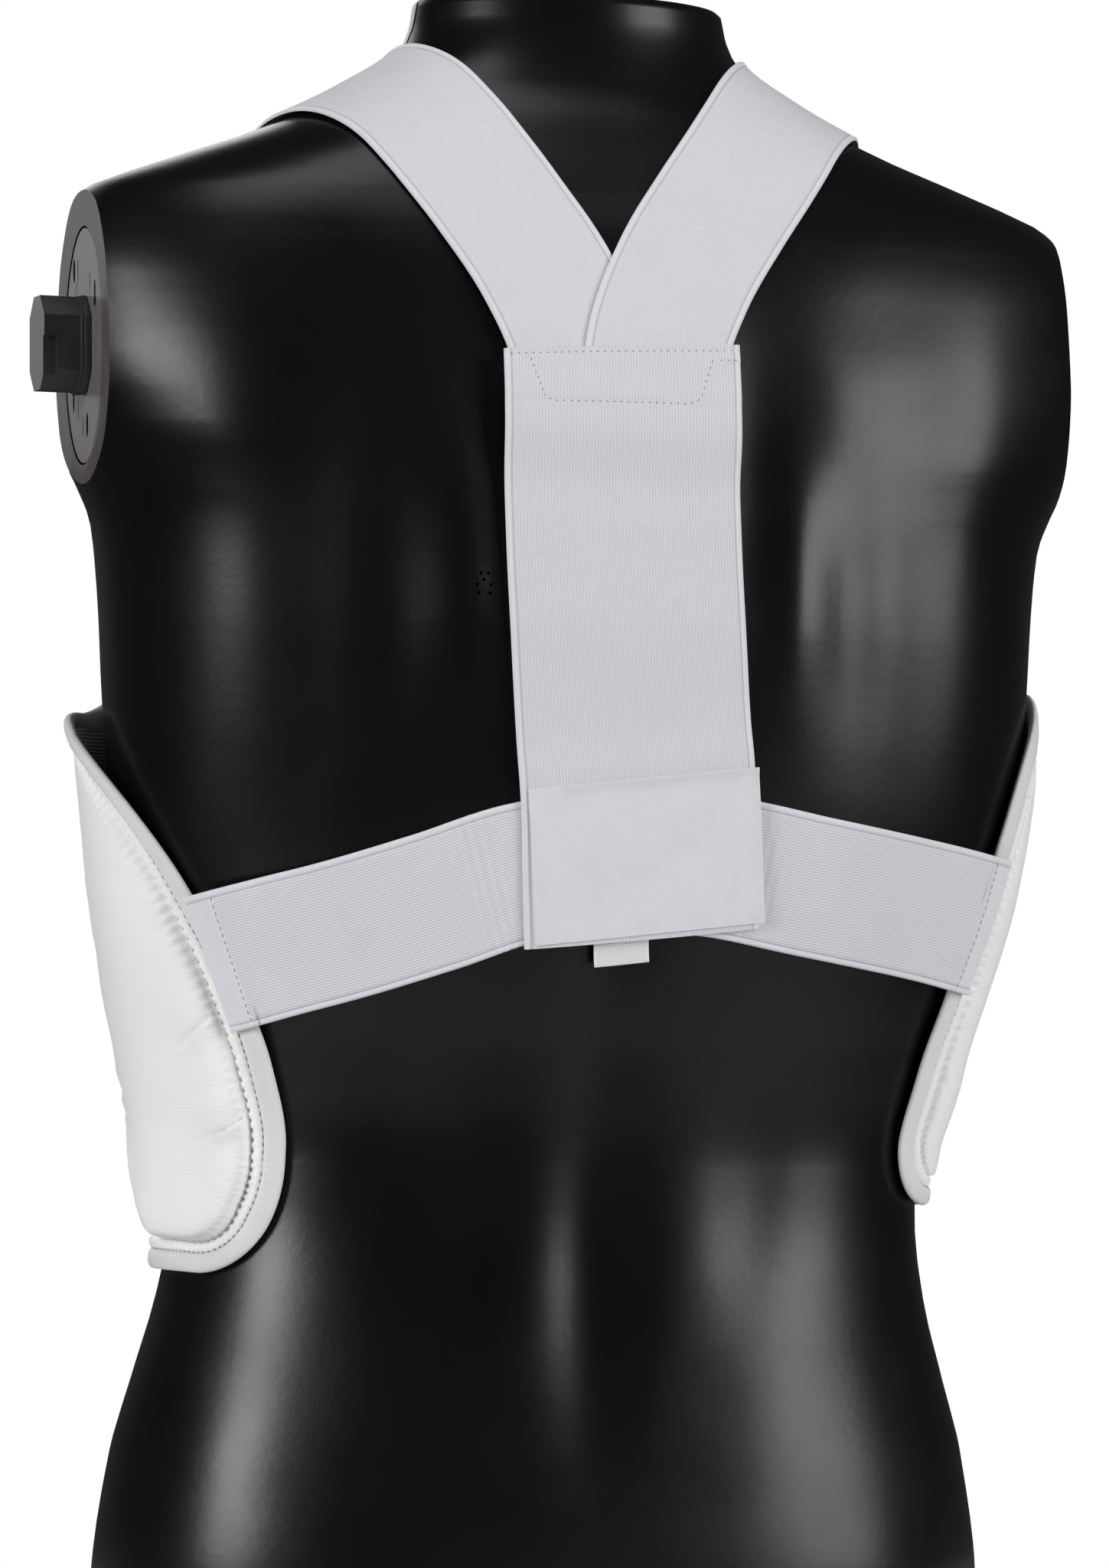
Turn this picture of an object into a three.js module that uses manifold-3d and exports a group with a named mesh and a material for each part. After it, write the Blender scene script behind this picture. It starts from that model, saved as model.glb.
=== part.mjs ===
// A padded karate chest protector, worn on a limbless torso display form.
// Millimetres, +Z up. The chest faces -Y and the wearer's left is +X. The form stands on z = 0.
import * as THREE from "three";
import { mergeVertices } from "three/addons/utils/BufferGeometryUtils.js";
import Module from "manifold-3d";

// ---- driving sizes -------------------------------------------------------------------------
const FORM_HEIGHT = 731;
const NARROW_ELASTIC = 60; // width of the shoulder straps and the waist band
const WIDE_ELASTIC = 100; // width of the back panel
const ELASTIC_WALL = 1.5;
const SEAM_GAP = 0.3; // between pieces that are sewn or stuck together
const SKIN_GAP = 0.8; // between the elastic and the form
const PAD_GAP = 2; // between the padded front's edge and the form
const PAD_EASE = 1.8; // by which its middle stands further off
const SWAY = { by: 14.5, from: 40, to: 460 }; // the trunk leans towards its right side
const TIP = { slope: Math.tan(THREE.MathUtils.degToRad(1.6)), full: 250 }; // and lifts its left side

// ---- the figure ----------------------------------------------------------------------------
// Level sections of the figure. half: half the width. back, front: depths behind and before the
// middle. square: exponent of the section's curve, 2 for an ellipse. mid: how far back the middle is.
const FIGURE = [
  { z: 0, half: 195, back: 112, front: 99, square: 2.35, mid: 0 },
  { z: 55, half: 193, back: 115, front: 99, square: 2.35, mid: 0 },
  { z: 107, half: 186, back: 108, front: 99, square: 2.3, mid: 0 },
  { z: 140, half: 177, back: 100, front: 98, square: 2.3, mid: 0 },
  { z: 174, half: 168, back: 92, front: 97, square: 2.25, mid: 0 },
  { z: 208, half: 163, back: 87, front: 96, square: 2.2, mid: 0 },
  { z: 240, half: 162, back: 86, front: 97, square: 2.2, mid: 0 },
  { z: 275, half: 169, back: 89, front: 100, square: 2.25, mid: 0 },
  { z: 310, half: 180, back: 96, front: 105, square: 2.25, mid: 0 },
  { z: 350, half: 191, back: 104, front: 112, square: 2.3, mid: 0 },
  { z: 390, half: 198, back: 111, front: 118, square: 2.3, mid: 0 },
  { z: 430, half: 202, back: 116, front: 122, square: 2.3, mid: 0 },
  { z: 470, half: 204, back: 119, front: 121, square: 2.3, mid: 0 },
  { z: 500, half: 207, back: 119, front: 117, square: 2.3, mid: 0 },
  { z: 518, half: 214, back: 118, front: 113, square: 2.3, mid: 0 },
  { z: 540, half: 226, back: 116, front: 108, square: 2.3, mid: 0 },
  { z: 575, half: 236, back: 109, front: 98, square: 2.3, mid: 0 },
  { z: 605, half: 235, back: 99, front: 85, square: 2.3, mid: 0 },
  { z: 628, half: 226, back: 88, front: 72, square: 2.3, mid: 1 },
  { z: 642, half: 212, back: 80, front: 63, square: 2.3, mid: 2 },
  { z: 655, half: 180, back: 73, front: 54, square: 2.3, mid: 3 },
  { z: 673, half: 132, back: 64, front: 46, square: 2.25, mid: 4 },
  { z: 690, half: 99, back: 58, front: 46, square: 2.15, mid: 2 },
  { z: 706, half: 76, back: 55, front: 49, square: 2.1, mid: 0 },
  { z: 718, half: 70, back: 53, front: 50, square: 2, mid: -1 },
  { z: 731, half: 67.5, back: 52, front: 50, square: 2, mid: -2 },
];
const RING_HEIGHTS = [
  0, 60, 95, 125, 155, 185, 215, 245, 275, 310, 350, 390, 430, 465, 495, 514, 532, 556, 582,
  606, 626, 638, 645, 651, 657, 663, 669, 675, 681, 687, 693, 699, 705, 711, 719, 726.5, 731,
];
const FORM_SEGMENTS = 52;
const NECK_LIP = 0.973; // the share to which the neck's top edge is drawn in

// Shallow hollows of the back, below the cloth's line. x is measured from the spine on either side.
const HOLLOWS = [
  { x: 0, z: 400, wide: 17, tall: 150, deep: 5 }, // along the spine
  { x: 0, z: 190, wide: 20, tall: 70, deep: 5 }, // small of the back
  { x: 58, z: 545, wide: 26, tall: 70, deep: 3.5 }, // inside the shoulder blades
];

const ARM_FACE = 213; // distance of the flat arm joints from the middle
const ARM_HEIGHT = 575;
const ARM_TURN = THREE.MathUtils.degToRad(4); // by which the joints face a little backwards

// A column of a table at a height, by a monotone cubic that never overshoots the rows.
function columnAt(rows, column, z) {
  const last = rows.length - 2;
  let i = 0;
  while (i < last && rows[i + 1].z < z) i++;
  const slope = (k) => (rows[k + 1][column] - rows[k][column]) / (rows[k + 1].z - rows[k].z);
  const tangent = (k) => {
    if (k === 0) return slope(0);
    if (k === rows.length - 1) return slope(k - 1);
    const [before, after] = [slope(k - 1), slope(k)];
    return before * after <= 0 ? 0 : (2 * before * after) / (before + after);
  };
  const span = rows[i + 1].z - rows[i].z;
  const t = THREE.MathUtils.clamp((z - rows[i].z) / span, 0, 1);
  const [t2, t3] = [t * t, t * t * t];
  return (
    (2 * t3 - 3 * t2 + 1) * rows[i][column] +
    (t3 - 2 * t2 + t) * span * tangent(i) +
    (3 * t2 - 2 * t3) * rows[i + 1][column] +
    (t3 - t2) * span * tangent(i + 1)
  );
}

function sectionAt(z) {
  const section = {};
  for (const column of ["half", "back", "front", "square", "mid"])
    section[column] = columnAt(FIGURE, column, z);
  return section;
}

// Places round the figure are given in girth units: 0 at the centre front, 250 at the side seam
// and 500 at the centre back, the wearer's left positive. At the chest a unit is about 1 mm.
const QUARTER = 250;
const QUARTER_STEPS = 40;
const quarterTables = new Map();

function quarterTable(z, behind) {
  const key = `${z.toFixed(2)}${behind}`;
  if (quarterTables.has(key)) return quarterTables.get(key);
  const section = sectionAt(z);
  const depth = behind ? section.back : section.front;
  const points = [];
  const along = [0];
  for (let i = 0; i <= QUARTER_STEPS; i++) {
    const angle = ((Math.PI / 2) * i) / QUARTER_STEPS; // from the side to the middle
    points.push([
      section.half * Math.cos(angle) ** (2 / section.square),
      depth * Math.sin(angle) ** (2 / section.square),
    ]);
    if (i === 0) continue;
    const [dx, dy] = [0, 1].map((axis) => points[i][axis] - points[i - 1][axis]);
    along.push(along[i - 1] + Math.hypot(dx, dy));
  }
  const table = { points, along, total: along[QUARTER_STEPS], mid: section.mid };
  quarterTables.set(key, table);
  return table;
}

// The point of the figure's smooth surface at a place round it and a height.
function figurePoint(place, z) {
  const turned = ((((place + 500) % 1000) + 1000) % 1000) - 500;
  const round = Math.abs(turned);
  const side = turned < 0 ? -1 : 1;
  const behind = round > QUARTER;
  const table = quarterTable(z, behind);
  const wanted = (table.total * Math.abs(round - QUARTER)) / QUARTER;
  let i = 1;
  while (i < QUARTER_STEPS && table.along[i] < wanted) i++;
  const t = (wanted - table.along[i - 1]) / (table.along[i] - table.along[i - 1]);
  const [before, after] = [table.points[i - 1], table.points[i]];
  const across = before[0] + (after[0] - before[0]) * t;
  const depth = before[1] + (after[1] - before[1]) * t;
  return new THREE.Vector3(side * across, table.mid + (behind ? depth : -depth), z);
}

function figureNormal(place, z) {
  const step = 3;
  const round = figurePoint(place + step, z).sub(figurePoint(place - step, z));
  const high = Math.min(z + step, FORM_HEIGHT);
  const up = figurePoint(place, high).sub(figurePoint(place, z - step));
  return round.cross(up).normalize();
}

function onFigure(place, z, lift) {
  return figurePoint(place, z).addScaledVector(figureNormal(place, z), lift);
}

function hollowAt(x, z) {
  return HOLLOWS.reduce(
    (sum, h) => sum + h.deep * Math.exp(-(((Math.abs(x) - h.x) / h.wide) ** 2) - ((z - h.z) / h.tall) ** 2),
    0,
  );
}

// The lean: the base stays level, the trunk sways to one side and tips with it.
function lean(p) {
  const sway = SWAY.by * THREE.MathUtils.smoothstep(p.z, SWAY.from, SWAY.to);
  const tip = TIP.slope * THREE.MathUtils.smoothstep(p.z, 0, TIP.full);
  return new THREE.Vector3(p.x - sway, p.y, p.z + tip * p.x);
}

// ---- solids from grids of points -----------------------------------------------------------
class Skin {
  constructor() {
    this.points = [];
    this.faces = [];
  }
  addRow(row) {
    const first = this.points.length;
    this.points.push(...row);
    return row.map((_, i) => first + i);
  }
  // Joins two rows of as many points, with a last strip back to the first point if they are rings.
  // flipped turns the faces round but keeps their diagonals, so that stacked walls stay parallel.
  // crossed says at which places the other diagonal is the better one.
  join(low, high, { ring = false, flipped = false, crossed = () => false } = {}) {
    const strips = ring ? low.length : low.length - 1;
    for (let i = 0; i < strips; i++) {
      const j = (i + 1) % low.length;
      const [a, b, c, d] = [low[i], low[j], high[j], high[i]];
      const pair = crossed(i) ? [[a, b, d], [b, c, d]] : [[a, b, c], [a, c, d]];
      this.faces.push(...(flipped ? pair.map(([p, q, r]) => [p, r, q]) : pair));
    }
  }
  fan(row, centre, flipped) {
    const [middle] = this.addRow([centre]);
    row.forEach((a, i) => {
      const b = row[(i + 1) % row.length];
      this.faces.push(flipped ? [b, a, middle] : [a, b, middle]);
    });
  }
  volume() {
    return this.faces.reduce((sum, [a, b, c]) => {
      const cross = new THREE.Vector3().crossVectors(this.points[b], this.points[c]);
      return sum + this.points[a].dot(cross) / 6;
    }, 0);
  }
  geometry(leaning = true) {
    const inward = this.volume() < 0;
    const placed = leaning ? this.points.map(lean) : this.points;
    const made = new THREE.BufferGeometry();
    made.setAttribute("position", new THREE.Float32BufferAttribute(placed.flatMap((p) => p.toArray()), 3));
    made.setIndex(this.faces.flatMap(([a, b, c]) => (inward ? [a, c, b] : [a, b, c])));
    made.computeVertexNormals();
    return made;
  }
}

// A wall between two grids of points, closed round its four edges.
function wallBetween(inner, outer) {
  const skin = new Skin();
  const insides = inner.map((row) => skin.addRow(row));
  const outsides = outer.map((row) => skin.addRow(row));
  const last = inner.length - 1;
  for (let i = 0; i < last; i++) {
    skin.join(insides[i], insides[i + 1], { flipped: true });
    skin.join(outsides[i], outsides[i + 1]);
  }
  const end = inner[0].length - 1;
  skin.join(insides[0], outsides[0]);
  skin.join(outsides[last], insides[last]);
  skin.join(outsides.map((row) => row[0]), insides.map((row) => row[0]));
  skin.join(insides.map((row) => row[end]), outsides.map((row) => row[end]));
  return skin.geometry();
}

// A wall between two stacks of rings. cap holds the triangles that close each stack's last ring.
function wallBetweenRings(inner, outer, cap, crossed) {
  const skin = new Skin();
  const insides = inner.map((ring) => skin.addRow(ring));
  const outsides = outer.map((ring) => skin.addRow(ring));
  for (let i = 0; i < insides.length - 1; i++)
    skin.join(insides[i], insides[i + 1], { ring: true, flipped: true, crossed });
  for (let i = 0; i < outsides.length - 1; i++)
    skin.join(outsides[i], outsides[i + 1], { ring: true, crossed });
  skin.join(insides[0], outsides[0], { ring: true });
  for (const [a, b, c] of cap) {
    const [back, face] = [insides[insides.length - 1], outsides[outsides.length - 1]];
    skin.faces.push([back[a], back[c], back[b]], [face[a], face[b], face[c]]);
  }
  return skin.geometry();
}

// ---- the display form ----------------------------------------------------------------------
function formSkin() {
  const skin = new Skin();
  const rings = RING_HEIGHTS.map((z) => {
    const lip = z === FORM_HEIGHT ? NECK_LIP : 1;
    const ring = Array.from({ length: FORM_SEGMENTS }, (_, i) => {
      const place = (1000 * i) / FORM_SEGMENTS - 500;
      const p = onFigure(place, z, 0);
      if (p.y > 0) p.y -= hollowAt(p.x, z);
      return p.multiply(new THREE.Vector3(lip, lip, 1));
    });
    return skin.addRow(ring);
  });
  const crossed = (i) => i >= FORM_SEGMENTS / 2;
  for (let i = 0; i < rings.length - 1; i++) skin.join(rings[i], rings[i + 1], { ring: true, crossed });
  skin.fan(rings[0], new THREE.Vector3(0, 0, 0), true);
  skin.fan(rings[rings.length - 1], new THREE.Vector3(0, 0, FORM_HEIGHT), false);
  return skin;
}

const wasm = await Module();
wasm.setup();

function toManifold(geometry) {
  const bare = geometry.clone();
  bare.deleteAttribute("normal");
  bare.deleteAttribute("uv");
  const merged = mergeVertices(bare, 1e-3);
  return new wasm.Manifold(
    new wasm.Mesh({
      numProp: 3,
      vertProperties: merged.attributes.position.array,
      triVerts: new Uint32Array(merged.index.array),
    }),
  );
}

function fromManifold(solid) {
  const mesh = solid.getMesh();
  const made = new THREE.BufferGeometry();
  made.setAttribute("position", new THREE.BufferAttribute(new Float32Array(mesh.vertProperties), 3));
  made.setIndex(Array.from(mesh.triVerts));
  made.computeVertexNormals();
  return made;
}

function leanGeometry(geometry) {
  const spots = geometry.attributes.position;
  for (let i = 0; i < spots.count; i++) {
    const p = lean(new THREE.Vector3().fromBufferAttribute(spots, i));
    spots.setXYZ(i, p.x, p.y, p.z);
  }
  geometry.computeVertexNormals();
  return geometry;
}

// ---- arm joints ----------------------------------------------------------------------------
const PLATE = { high: 100, deep: 71, wall: 3.2, middle: 8, clear: 0.5 }; // oval, let into the arm face
const SLOT = { long: 13, wide: 3.6, out: 0.62 }; // bayonet slots, at a share of the plate's radius
const OVAL_SEGMENTS = 16;
const LUG = { high: 40, deep: 30, long: 19, chamfer: 9 }; // the eight-sided arm lug

// Turns a piece of an arm joint about the upright line through the middle of its face.
function turnToBack(geometry, side) {
  geometry.translate(-side * ARM_FACE, -PLATE.middle, 0);
  geometry.rotateZ(side * ARM_TURN);
  return geometry.translate(side * ARM_FACE, PLATE.middle, 0);
}

// An outline in the (y, z) plane, made solid between two distances from the middle.
function sidePiece(outline, from, to, side) {
  const depth = to - from;
  const made = new THREE.ExtrudeGeometry(outline, {
    depth,
    bevelEnabled: false,
    curveSegments: OVAL_SEGMENTS,
  });
  const spots = made.attributes.position;
  for (let i = 0; i < spots.count; i++) {
    const [y, z, x] = [spots.getX(i), spots.getY(i), spots.getZ(i)];
    spots.setXYZ(i, side * (from + x), y, z);
  }
  for (let i = 0; side < 0 && i < spots.count; i += 3) {
    const [b, c] = [1, 2].map((k) => new THREE.Vector3().fromBufferAttribute(spots, i + k));
    spots.setXYZ(i + 1, c.x, c.y, c.z);
    spots.setXYZ(i + 2, b.x, b.y, b.z);
  }
  return turnToBack(made, side);
}

function plateOval(grow) {
  const oval = new THREE.Shape();
  oval.absellipse(PLATE.middle, ARM_HEIGHT, PLATE.deep / 2 + grow, PLATE.high / 2 + grow, 0, 2 * Math.PI);
  return oval;
}

function armPlate(side) {
  const oval = plateOval(0);
  for (const [across, up] of [[1, 1], [-1, 1], [-1, -1], [1, -1]]) {
    const [y, z] = [
      PLATE.middle + (across * SLOT.out * PLATE.deep * Math.SQRT1_2) / 2,
      ARM_HEIGHT + (up * SLOT.out * PLATE.high * Math.SQRT1_2) / 2,
    ];
    const slot = new THREE.Path();
    slot.absellipse(y, z, SLOT.wide / 2, SLOT.long / 2, 0, 2 * Math.PI);
    oval.holes.push(slot);
  }
  const back = ARM_FACE - PLATE.wall - SEAM_GAP;
  return leanGeometry(sidePiece(oval, back, back + PLATE.wall, side));
}

// Only the left lug is there; the right joint is left bare.
function armLug(side) {
  const [y, z] = [LUG.deep / 2, LUG.high / 2];
  const [narrow, low] = [y - LUG.chamfer, z - LUG.chamfer];
  const corners = [
    [y, low], [narrow, z], [-narrow, z], [-y, low],
    [-y, -low], [-narrow, -z], [narrow, -z], [y, -low],
  ];
  const outline = new THREE.Shape(
    corners.map(([dy, dz]) => new THREE.Vector2(PLATE.middle + dy, ARM_HEIGHT + dz)),
  );
  return leanGeometry(sidePiece(outline, ARM_FACE, ARM_FACE + LUG.long, side));
}

// The trunk, with both shoulders cut flat and recessed where the arms would plug in.
const CUTTER = { wide: 100, deep: 400, high: 300 }; // takes off what stands beyond an arm face

function displayForm() {
  let solid = toManifold(formSkin().geometry(false));
  for (const side of [1, -1]) {
    const box = new THREE.BoxGeometry(CUTTER.wide, CUTTER.deep, CUTTER.high);
    box.translate(side * (ARM_FACE + CUTTER.wide / 2), 0, ARM_HEIGHT);
    const recess = ARM_FACE - PLATE.wall - 2 * SEAM_GAP;
    const pocket = sidePiece(plateOval(PLATE.clear), recess, ARM_FACE + PLATE.wall, side);
    solid = solid.subtract(toManifold(turnToBack(box, side)));
    solid = solid.subtract(toManifold(pocket));
  }
  return leanGeometry(fromManifold(solid));
}

// ---- the padded front ----------------------------------------------------------------------
// Outline, in girth units across and millimetres up. The wings differ because the left one hangs
// lower and curls away from the figure, while the right one lies flat.
const NECKLINE = 512;
const STRAP_SEAM = { inner: 64, outer: 124, innerUp: 588, outerUp: 580 };
const HEM_MIDDLE = 172;
const WINGS = {
  left: { tip: 226, tipUp: 420, upper: 300, upperUp: 385, rear: 339, rearUp: 232, hem: 185 },
  right: { tip: 258, tipUp: 440, upper: 319, upperUp: 410, rear: 318, rearUp: 247, hem: 216 },
};
const CURL = { lift: 11, along: 60, deep: 42 }; // how the left wing's tip turns outwards
const BRIDGE = { lift: 5, place: 240, up: 238, along: 70, high: 62 }; // the foam spans the waist
const CORE = { reach: 140, up: 345 }; // the level line in the middle that the inner rings close on

function halfOutline(wing) {
  const stretches = [];
  const run = (points, count) => stretches.push({ curve: new THREE.CubicBezierCurve(...points), count });
  const at = (across, up) => new THREE.Vector2(across, up);
  const straight = (a, b) => [a, a.clone().lerp(b, 1 / 3), a.clone().lerp(b, 2 / 3), b];
  const neck = at(0, NECKLINE);
  const inner = at(STRAP_SEAM.inner, STRAP_SEAM.innerUp);
  const outer = at(STRAP_SEAM.outer, STRAP_SEAM.outerUp);
  const tipFront = at(wing.tip - 22, wing.tipUp + 1);
  const tipBack = at(wing.tip + 18, wing.tipUp - 9);
  const rear = at(wing.rear, wing.rearUp);
  const corner = at(wing.rear - 44, wing.hem);
  const hem = at(0, HEM_MIDDLE);
  run([neck, at(38, NECKLINE), at(56, NECKLINE + 22), inner], 5);
  run(straight(inner, outer), 4);
  run([outer, at(129, 520), at(150, wing.tipUp + 8), tipFront], 9);
  run([tipFront, at(wing.tip - 6, wing.tipUp + 2), at(wing.tip + 8, wing.tipUp - 1), tipBack], 3);
  run([tipBack, at(wing.upper, wing.upperUp), at(wing.rear, wing.rearUp + 88), rear], 8);
  run([rear, at(wing.rear, wing.rearUp - 26), at(wing.rear - 17, wing.hem), corner], 5);
  run([corner, at(wing.rear - 120, wing.hem), at(90, HEM_MIDDLE), hem], 10);
  return stretches.flatMap(({ curve, count }) => curve.getPoints(count).slice(0, count));
}

function padOutline() {
  const left = halfOutline(WINGS.left);
  const right = halfOutline(WINGS.right).slice(1).reverse();
  const hem = new THREE.Vector2(0, HEM_MIDDLE);
  return [...left, hem, ...right.map((p) => new THREE.Vector2(-p.x, p.y))];
}

const outline = padOutline();

// Inward step at each outline point, averaged over its neighbours so that insets never cross, and
// longer at the corners so that the border keeps its width there.
const LONGEST_MITRE = 1.35;

function edgeNormal(i) {
  const a = outline[(i + outline.length) % outline.length];
  const b = outline[(i + 1 + outline.length) % outline.length];
  return new THREE.Vector2(b.y - a.y, a.x - b.x).normalize();
}

const inwards = outline.map((_, i) => {
  const sum = new THREE.Vector2();
  for (let k = -3; k <= 2; k++) sum.add(edgeNormal(i + k));
  sum.normalize();
  const turn = Math.min(sum.dot(edgeNormal(i)), sum.dot(edgeNormal(i - 1)));
  return sum.divideScalar(Math.max(1 / LONGEST_MITRE, turn));
});

// Beyond the flat border the rings crowd together in the narrow tops that the straps are sewn to.
const TOPS = { border: 20, room: 25, from: 400, to: 505 };

function insetRing(inset) {
  return outline.map((p, i) => {
    const narrow = THREE.MathUtils.smoothstep(p.y, TOPS.from, TOPS.to);
    const room = THREE.MathUtils.lerp(PAD_RINGS.deepest, TOPS.room, narrow);
    const crowding = (room - TOPS.border) / (PAD_RINGS.deepest - TOPS.border);
    const beyond = Math.max(inset - TOPS.border, 0) * crowding;
    return p.clone().addScaledVector(inwards[i], Math.min(inset, TOPS.border) + beyond);
  });
}

function corePoint(p) {
  return new THREE.Vector2(CORE.reach * Math.tanh(p.x / CORE.reach), CORE.up);
}

function shrunkRing(share) {
  return insetRing(PAD_RINGS.deepest).map((p) => corePoint(p).lerp(p, share));
}

const tipPlace = new THREE.Vector2(WINGS.left.tip, WINGS.left.tipUp);

// How far the pad's back lies off the figure: its left tip curls outwards and it spans the waist.
function padStandOff(place, inset) {
  const away = place.distanceTo(tipPlace) / CURL.along;
  const edge = 1 - THREE.MathUtils.smoothstep(inset, 0, CURL.deep);
  const along = (place.x - BRIDGE.place) / BRIDGE.along;
  const up = (place.y - BRIDGE.up) / BRIDGE.high;
  const bridge = BRIDGE.lift * Math.exp(-along * along - up * up) * (1 - edge);
  return PAD_GAP + PAD_EASE * (1 - edge) + CURL.lift * Math.exp(-away * away) * edge + bridge;
}

const BINDING = { wide: 12, thick: 5 };
const LINING_WALL = 1;
const LINING_GAP = 0.5;
const PAD_RINGS = { deepest: 38, shares: [0.84, 0.68, 0.53, 0.38, 0.24, 0.1] };
const BACK_INSETS = [BINDING.wide + SEAM_GAP, 24, PAD_RINGS.deepest];
// Thickness of the padded front at a distance in from its edge. A flat sewn border, then foam.
// foam: the share of the foam's full thickness.
const BORDER = [
  { inset: BINDING.wide + SEAM_GAP, thick: 2.2, foam: 0 },
  { inset: 16, thick: 3, foam: 0 },
  { inset: 19.5, thick: 2, foam: 0 },
  { inset: 23.5, thick: 2, foam: 0.4 },
  { inset: 30, thick: 2, foam: 0.75 },
  { inset: PAD_RINGS.deepest, thick: 2, foam: 0.93 },
];
const FOAM = { waist: 11, chest: 6.4, from: 300, to: 400 };
const TIGHT = { from: -120, to: -250, share: 0.7 }; // the right wing is drawn tight and flattened
const LOW = { share: 0.4, from: 300, to: 192 }; // the foam is pressed thinner towards the hem

function foamAt(across, up) {
  const share = THREE.MathUtils.smoothstep(up, FOAM.from, FOAM.to);
  const pressed = TIGHT.share * THREE.MathUtils.smoothstep(-across, -TIGHT.from, -TIGHT.to);
  const low = LOW.share * THREE.MathUtils.smoothstep(-up, -LOW.from, -LOW.to);
  return (FOAM.waist + (FOAM.chest - FOAM.waist) * share) * (1 - pressed) * (1 - low);
}

function layRing(ring, inset, lift, foam = 0) {
  return ring.map((p) => onFigure(p.x, p.y, padStandOff(p, inset) + lift + foam * foamAt(p.x, p.y)));
}

// A stack of rings from the edge inwards, one for each row of insets and then the shrinking ones.
function layStack(rows, lift) {
  const rings = rows.map(({ inset, thick, foam }) => layRing(insetRing(inset), inset, lift + thick, foam));
  const { thick, foam } = rows[rows.length - 1];
  const full = foam > 0 ? 1 : 0;
  for (const share of PAD_RINGS.shares)
    rings.push(layRing(shrunkRing(share), CURL.deep, lift + thick, full));
  return rings;
}

// Triangles that close a long, narrow ring from its right end to its left end.
function zipped(ring) {
  const next = (i, step) => (i + step + ring.length) % ring.length;
  const across = ring.map((p) => p.x);
  const [right, left] = [across.indexOf(Math.max(...across)), across.indexOf(Math.min(...across))];
  const triangles = [];
  let [top, bottom] = [right, right];
  while (top !== left || bottom !== left) {
    const [above, below] = [next(top, -1), next(bottom, 1)];
    if (bottom === left || (top !== left && across[above] >= across[below])) {
      if (top !== bottom && above !== bottom) triangles.push([top, bottom, above]);
      top = above;
    } else {
      if (top !== bottom && top !== below) triangles.push([top, bottom, below]);
      bottom = below;
    }
  }
  return triangles;
}

// Whether the rings shrink ahead of the outline's direction at a place, or behind it.
function leansAhead(i) {
  const ahead = outline[(i + 1) % outline.length].clone().sub(outline[i]);
  const towards = corePoint(outline[i]).sub(outline[i]);
  return ahead.dot(towards) > 0;
}

const innermost = shrunkRing(PAD_RINGS.shares[PAD_RINGS.shares.length - 1]);
const padCap = zipped(innermost);
const plainRows = (thick) => BACK_INSETS.map((inset) => ({ inset, thick, foam: 0 }));

function frontPad() {
  const under = LINING_WALL + LINING_GAP;
  const [back, face] = [layStack(plainRows(0), under), layStack(BORDER, under)];
  return wallBetweenRings(back, face, padCap, leansAhead);
}

function meshLining() {
  const [back, face] = [layStack(plainRows(0), 0), layStack(plainRows(LINING_WALL), 0)];
  return wallBetweenRings(back, face, padCap, leansAhead);
}

// The folded edge: a band of oval section round the whole outline.
function edgeBinding() {
  const skin = new Skin();
  const sides = 6;
  const middleLift = LINING_WALL + LINING_GAP + 0.6;
  const rows = Array.from({ length: sides }, (_, k) => {
    const angle = (2 * Math.PI * (k + 0.5)) / sides;
    const inset = (BINDING.wide / 2) * (1 - Math.cos(angle) / Math.cos(Math.PI / sides));
    const lift = middleLift + (BINDING.thick / 2) * Math.sin(angle);
    return skin.addRow(layRing(insetRing(inset), inset, lift));
  });
  rows.forEach((row, k) => skin.join(row, rows[(k + 1) % sides], { ring: true }));
  return skin.geometry();
}

// ---- elastic bands -------------------------------------------------------------------------
function gradient(inside, p) {
  const step = 0.5;
  const d = (axis) => {
    const [a, b] = [p.clone(), p.clone()];
    a[axis] += step;
    b[axis] -= step;
    return inside(a) - inside(b);
  };
  return new THREE.Vector3(d("x"), d("y"), d("z")).normalize();
}

// Below 1 inside the figure and above 1 outside it.
function figureLevel(p) {
  const section = sectionAt(THREE.MathUtils.clamp(p.z, 0, FORM_HEIGHT));
  const depth = p.y - section.mid;
  const reach = depth > 0 ? section.back : section.front;
  return (Math.abs(p.x) / section.half) ** section.square + (Math.abs(depth) / reach) ** section.square;
}

// The figure's surface met by coming in from a far point towards a near one.
const CAST_STEPS = 60;
const CAST_HALVINGS = 24;

function cast(far, near) {
  let [outside, inside] = [0, 1];
  const at = (t) => far.clone().lerp(near, t);
  for (let i = 1; i <= CAST_STEPS; i++) {
    if (figureLevel(at(i / CAST_STEPS)) < 1) {
      [outside, inside] = [(i - 1) / CAST_STEPS, i / CAST_STEPS];
      break;
    }
  }
  for (let i = 0; i < CAST_HALVINGS; i++) {
    const t = (outside + inside) / 2;
    if (figureLevel(at(t)) < 1) inside = t;
    else outside = t;
  }
  return at(outside);
}

const OFF_FIGURE = 50; // a band is cast onto the figure from this far outside it
const INTO_FIGURE = -60; // towards a point this far inside

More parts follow.
